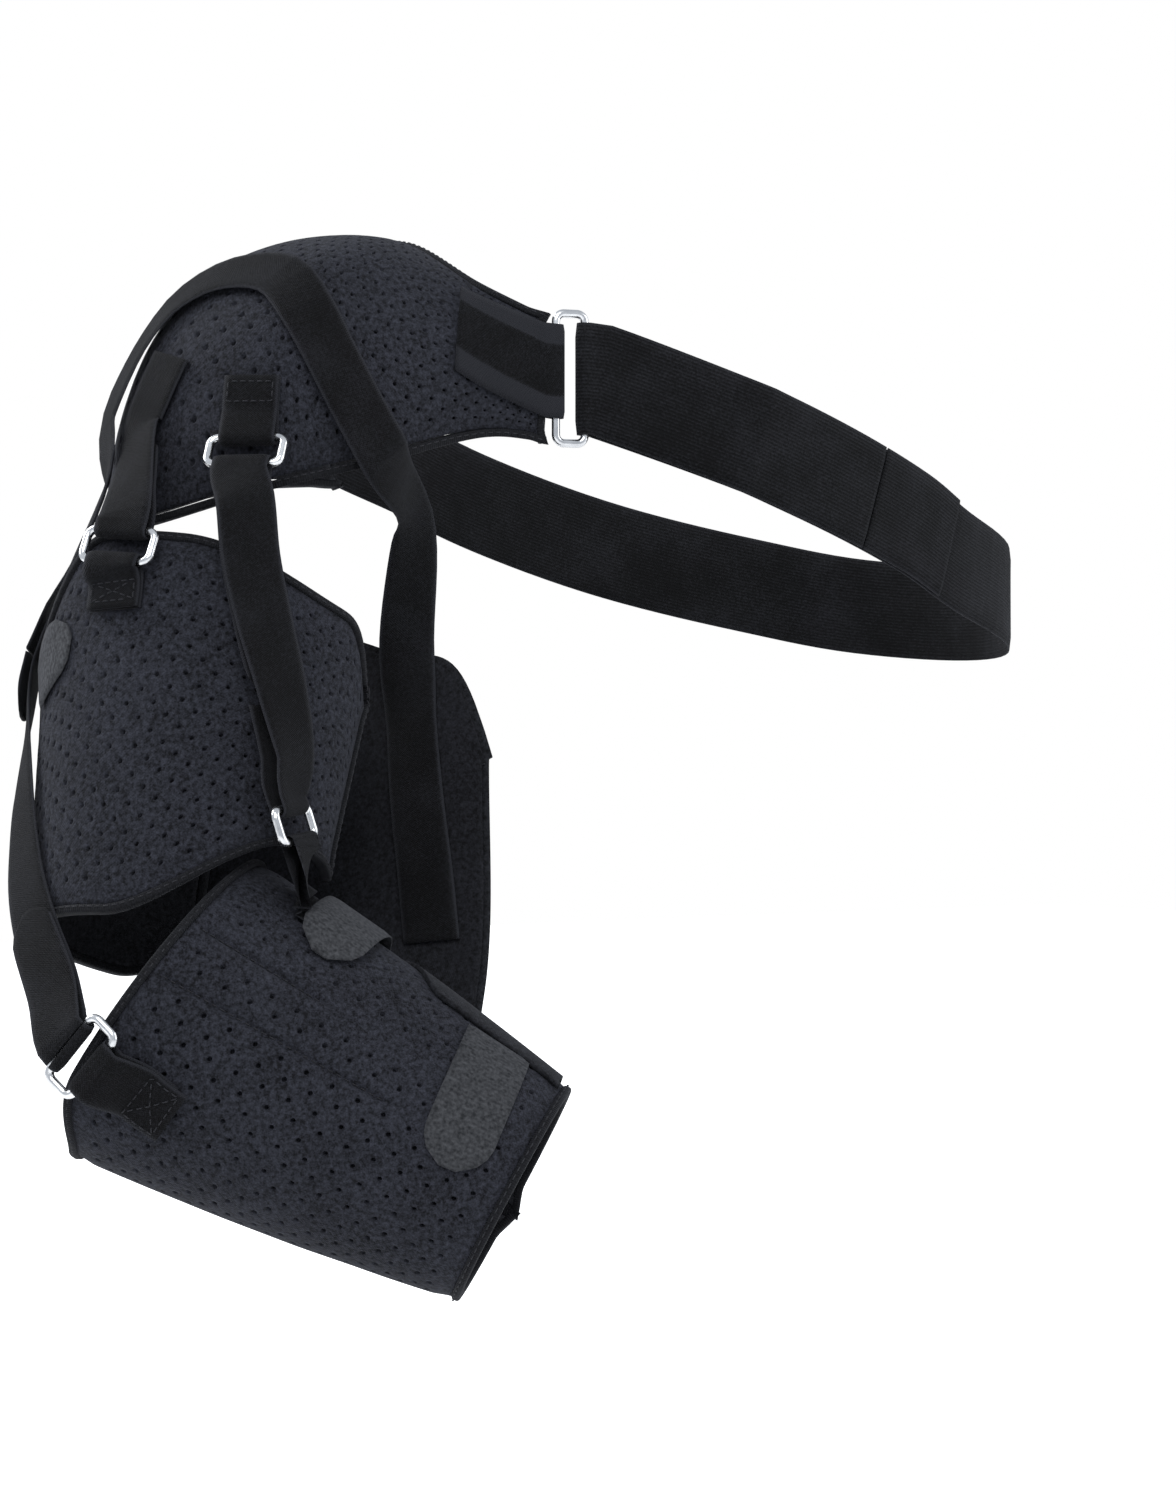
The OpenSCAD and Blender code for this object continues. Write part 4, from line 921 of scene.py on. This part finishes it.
panel = cloth_piece("inner_panel", "medial_panel", panel_sheet, (56, 72), (125, 150),
                    0, PANEL, PANEL_CLOTH, 5)
backing = cloth_piece("inner_panel_backing", "medial_panel_backing", backing_sheet, (56, 72),
                      (131, 153), PANEL + LAYER_GAP, PANEL + LAYER_GAP + BACKING, PLAIN_CLOTH, 5)
flap = cloth_piece("closing_flap", "forearm_closing_flap", flap_sheet, (36, 30), (112, 38),
                   LAYER_GAP, LAYER_GAP + FLAP, PLAIN_CLOTH, 4)
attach(flap, "forearm")


# The panel and its backing, and further on the straps to the elbow ring, are baked where they are
for piece in (panel, backing):
    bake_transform(piece)

RIBBONS = {
    (WEBBING, "webbing"): (
        "front_tab", "front_strap", "front_strap_fold", "front_lower_tab", "side_strap", "side_strap_fold",
        "side_tab", "over_shoulder_strap", "over_shoulder_hook_end", "elbow_strap", "elbow_strap_fold",
        "elbow_tab"),
    (ELASTIC, "elastic"): ("chest_strap", "chest_strap_hook_end"),
    (HOOK, "hook_tape"): ("wrist_hook_tab", "elbow_hook_tab", "upper_arm_hook_tab")}
BODY_OF = {name: body for body, names in frame["record"]["behaviour"]["bodies"].items() for name in names}
made = {}

# Straps that leave a ring: the ring and the way that they leave it
FROM_RING = {"front_strap": ("front_upper_ring", ARM), "front_strap_fold": ("front_upper_ring", ARM),
             "side_strap": ("side_ring", -ARM), "side_strap_fold": ("side_ring", -ARM)}
# Straps across the elbow: they ride on no body and are baked where they are
ACROSS_ELBOW = ("elbow_strap", "elbow_strap_fold", "front_lower_tab")

# Chest ring's tab, in shares of the cap's length: its sewn end, where it lifts, the cap's rim, its end under
# the cap, and the step from row to row
CHEST_TAB_SEWN, CHEST_TAB_LIFTS, CHEST_TAB_RIM, CHEST_TAB_UNDER = 0.185, 0.02, 0.004, 0.06
CHEST_TAB_ROW, CHEST_TAB_COLUMNS = 0.0055, 14


def chest_tab_rows():
    """Rows of (point, outward direction) across the chest ring's tab, from its sewn end, round the ring's
    bar, to its end under the cap."""
    edge = unit(cap_face(0, 0) - cap_face(0, 1))
    leave = cap_face(0, 0.5) - cap_face(0.03, 0.5)
    leave = unit(leave - edge * (leave @ edge))
    out = np.cross(edge, leave)
    out = out * np.sign(out @ normal_of(cap_face, 0.01, 0.5))
    seat = cap_face(0, 0.5) - (FOAM + LINING - BINDING_LIFT) / 2 * normal_of(cap_face, 0, 0.5)
    bar = seat + leave * CHEST_BAR_REACH

    def on_cap(a, share, lift, facing=1):
        b = CHEST_TAB_MIDDLE + share * CHEST_TAB_W / cap_width(a)
        n = normal_of(cap_face, a, b)
        return cap_face(a, b) + lift * n, n * facing

    def round_bar(turn, share):
        ray = leave * math.cos(turn) + out * math.sin(turn)
        across = (CHEST_TAB_MIDDLE - 0.5) * cap_width(0) + share * CHEST_TAB_W
        return bar + ray * LOOP_R - edge * across, ray

    shares = [j / CHEST_TAB_COLUMNS - 0.5 for j in range(CHEST_TAB_COLUMNS + 1)]
    rows = [[on_cap(a, s, FIRST_LAYER) for s in shares]
            for a in np.arange(CHEST_TAB_SEWN, CHEST_TAB_LIFTS, -CHEST_TAB_ROW)]
    rows.append([on_cap(CHEST_TAB_RIM, s, FIRST_LAYER + 0.1) for s in shares])
    rows += [[round_bar(math.radians(90 - turn), s) for s in shares] for turn in range(0, 181, 15)]
    under = -FOAM - LINING - FIRST_LAYER - 0.2
    rows += [[on_cap(a, s, under, -1) for s in shares]
             for a in np.arange(CHEST_TAB_RIM, CHEST_TAB_UNDER, CHEST_TAB_ROW)]
    return rows


def chest_tab():
    """The wide tab between the front wing and the chest ring."""
    columns, rows = CHEST_TAB_COLUMNS, chest_tab_rows()
    verts, uvs = [], []
    length, middle = 0.0, columns // 2
    for i, row in enumerate(rows):
        length += np.linalg.norm(row[middle][0] - rows[max(i - 1, 0)][middle][0])
        for side in (1, -1):
            for k in range(columns + 1)[::side]:
                point, up = row[k]
                x = abs(k / columns - 0.5) * CHEST_TAB_W
                drop = 1 - math.sqrt(max(0, 1 - max(0, x - CHEST_TAB_W / 2 + SELVEDGE) ** 2))
                verts.append(point + up * side * WEBBING_T / 2 * (1 - drop))
                uvs.append((k / columns * CHEST_TAB_W - CHEST_TAB_W / 2, length))
    size = 2 * (columns + 1)
    return make_object("strip_chest_ring_tab", verts, tube_faces(len(rows), size), uvs, WEBBING)


def blend_from_ring(piece, ring, direction):
    """Bakes the piece's transform into its mesh; nothing makes its end follow the ring. ring is not used;
    direction, which goes from the ring along the piece, is not used."""
    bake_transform(piece)


chest_ring_tab = chest_tab()
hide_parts("chest_ring_tab")
tab_middle = np.array([tuple(v.co) for v in frame["nodes"]["chest_ring_tab"].data.vertices]).mean(axis=0)
blend_from_ring(chest_ring_tab, "chest_ring", tab_middle - np.array(JOINTS["chest_ring_swivel"]["pos_m"]))

for (material, finish), names in RIBBONS.items():
    for name in names:
        piece = ribbon("strip_" + name, name, material)
        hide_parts(name)
        made[name] = piece
        if name in FROM_RING:
            blend_from_ring(piece, *FROM_RING[name])
        elif name not in ACROSS_ELBOW:
            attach(piece, BODY_OF[name])
for name in ACROSS_ELBOW[:2]:
    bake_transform(made[name])
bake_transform(made["front_lower_tab"])

# Stitched boxes: the strip, a place on the arm's axis and its direction, from and to in millimetres from the
# strip's end, and whether it has a cross
SHOULDER = 0 * ELBOW
for name, origin, axis, start, end, cross in (
        ("elbow_tab", ELBOW, FOREARM, 2.5, 15, True),
        ("front_tab", SHOULDER, ARM, 2.5, 10, False),
        ("side_tab", SHOULDER, ARM, 2.5, 10, True),
        ("over_shoulder_strap", SHOULDER, ARM, 3, 16, False)):
    sew("thread_" + name, end_box(name, origin, axis, start, end, cross), BODY_OF[name])

for name, obj in frame["nodes"].items():
    if name.endswith("_ring"):
        obj.data.materials.clear()
        obj.data.materials.append(CHROME)

# ---- Room ----

FLOOR_DROP, FLOOR_HALF = 0.25, 6  # below the sling, and half the floor's side
# The floor glows for the camera alone: distances from the shoulder, and how strongly at each
GLOW_NEAR, GLOW_FAR, GLOW_LOW, GLOW_HIGH = 0.5, 1.3, 0.3, 1.0
LIT_POINT = (0, 0, -0.1)
# Light from all sides, dimmer and bluer than the white that the camera sees
SKY_COLOUR, SKY_STRENGTH = (0.8, 0.84, 0.9, 1), 0.7
SENSOR_WIDTH, LENS = 36, 102.3
CAMERA_PLACE, CAMERA_AHEAD = (-0.6496, -1.1324, -0.1556), (0.574, 0.819, 0)


def add_floor():
    """White paper floor, which turns to plain white away from the sling."""
    mesh = bpy.data.meshes.new("floor")
    height = cad_bounds[0][2] - FLOOR_DROP
    corners = [(x * FLOOR_HALF, y * FLOOR_HALF, height) for x, y in ((-1, -1), (1, -1), (1, 1), (-1, 1))]
    mesh.from_pydata(corners, [], [(0, 1, 2, 3)])
    material, tree, shader = new_material("floor_paper")
    shader.inputs["Base Color"].default_value = (0.9, 0.9, 0.9, 1)
    shader.inputs["Roughness"].default_value = 0.95
    shader.inputs["Emission Color"].default_value = (1, 1, 1, 1)
    distance = node(tree, "ShaderNodeVectorMath", operation="LENGTH")
    tree.links.new(node(tree, "ShaderNodeNewGeometry").outputs["Position"], distance.inputs[0])
    glow = node(tree, "ShaderNodeMapRange")
    tree.links.new(distance.outputs["Value"], glow.inputs["Value"])
    for socket, value in (("From Min", GLOW_NEAR), ("From Max", GLOW_FAR),
                          ("To Min", GLOW_LOW), ("To Max", GLOW_HIGH)):
        glow.inputs[socket].default_value = value
    seen = node(tree, "ShaderNodeLightPath").outputs["Is Camera Ray"]
    tree.links.new(maths(tree, "MULTIPLY", glow.outputs[0], seen), shader.inputs["Emission Strength"])
    mesh.materials.append(material)
    floor = bpy.data.objects.new("floor", mesh)
    bpy.context.scene.collection.objects.link(floor)


def add_light(name, place, size, power):
    """Square soft light, aimed at the middle of the sling."""
    light = bpy.data.lights.new(name, "AREA")
    light.size = size
    light.energy = power
    obj = bpy.data.objects.new(name, light)
    obj.location = place
    obj.rotation_euler = (Vector(LIT_POINT) - Vector(place)).to_track_quat("-Z", "Y").to_euler()
    bpy.context.scene.collection.objects.link(obj)


def add_world():
    """White for the camera, and the light of the sky."""
    world = bpy.data.worlds.new("studio")
    world.use_nodes = True
    tree = world.node_tree
    tree.nodes.clear()
    out = tree.nodes.new("ShaderNodeOutputWorld")
    path = tree.nodes.new("ShaderNodeLightPath")
    seen = maths(tree, "MAXIMUM", path.outputs["Is Camera Ray"], path.outputs["Is Transmission Ray"])
    mixer = tree.nodes.new("ShaderNodeMixShader")
    white, grey = tree.nodes.new("ShaderNodeBackground"), tree.nodes.new("ShaderNodeBackground")
    white.inputs["Color"].default_value = (1, 1, 1, 1)
    grey.inputs["Color"].default_value = SKY_COLOUR
    grey.inputs["Strength"].default_value = SKY_STRENGTH
    tree.links.new(seen, mixer.inputs[0])
    tree.links.new(grey.outputs[0], mixer.inputs[1])
    tree.links.new(white.outputs[0], mixer.inputs[2])
    tree.links.new(mixer.outputs[0], out.inputs[0])
    bpy.context.scene.world = world


def add_camera():
    """Level camera, placed as the photograph's was."""
    data = bpy.data.cameras.new("camera")
    data.sensor_width = SENSOR_WIDTH
    data.sensor_fit = "HORIZONTAL"
    data.lens = LENS
    obj = bpy.data.objects.new("camera", data)
    obj.location = CAMERA_PLACE
    obj.rotation_euler = Vector(CAMERA_AHEAD).to_track_quat("-Z", "Y").to_euler()
    bpy.context.scene.collection.objects.link(obj)
    bpy.context.scene.camera = obj


add_floor()
add_light("key", (-1.2, -1.6, 1.5), size=1.6, power=42)
add_light("fill", (1.6, -1.2, 0.4), size=1.6, power=14)
add_light("rim", (-0.9, 1.2, 1.0), size=1.2, power=26)
add_world()
add_camera()
bpy.context.scene.view_settings.view_transform = "Standard"
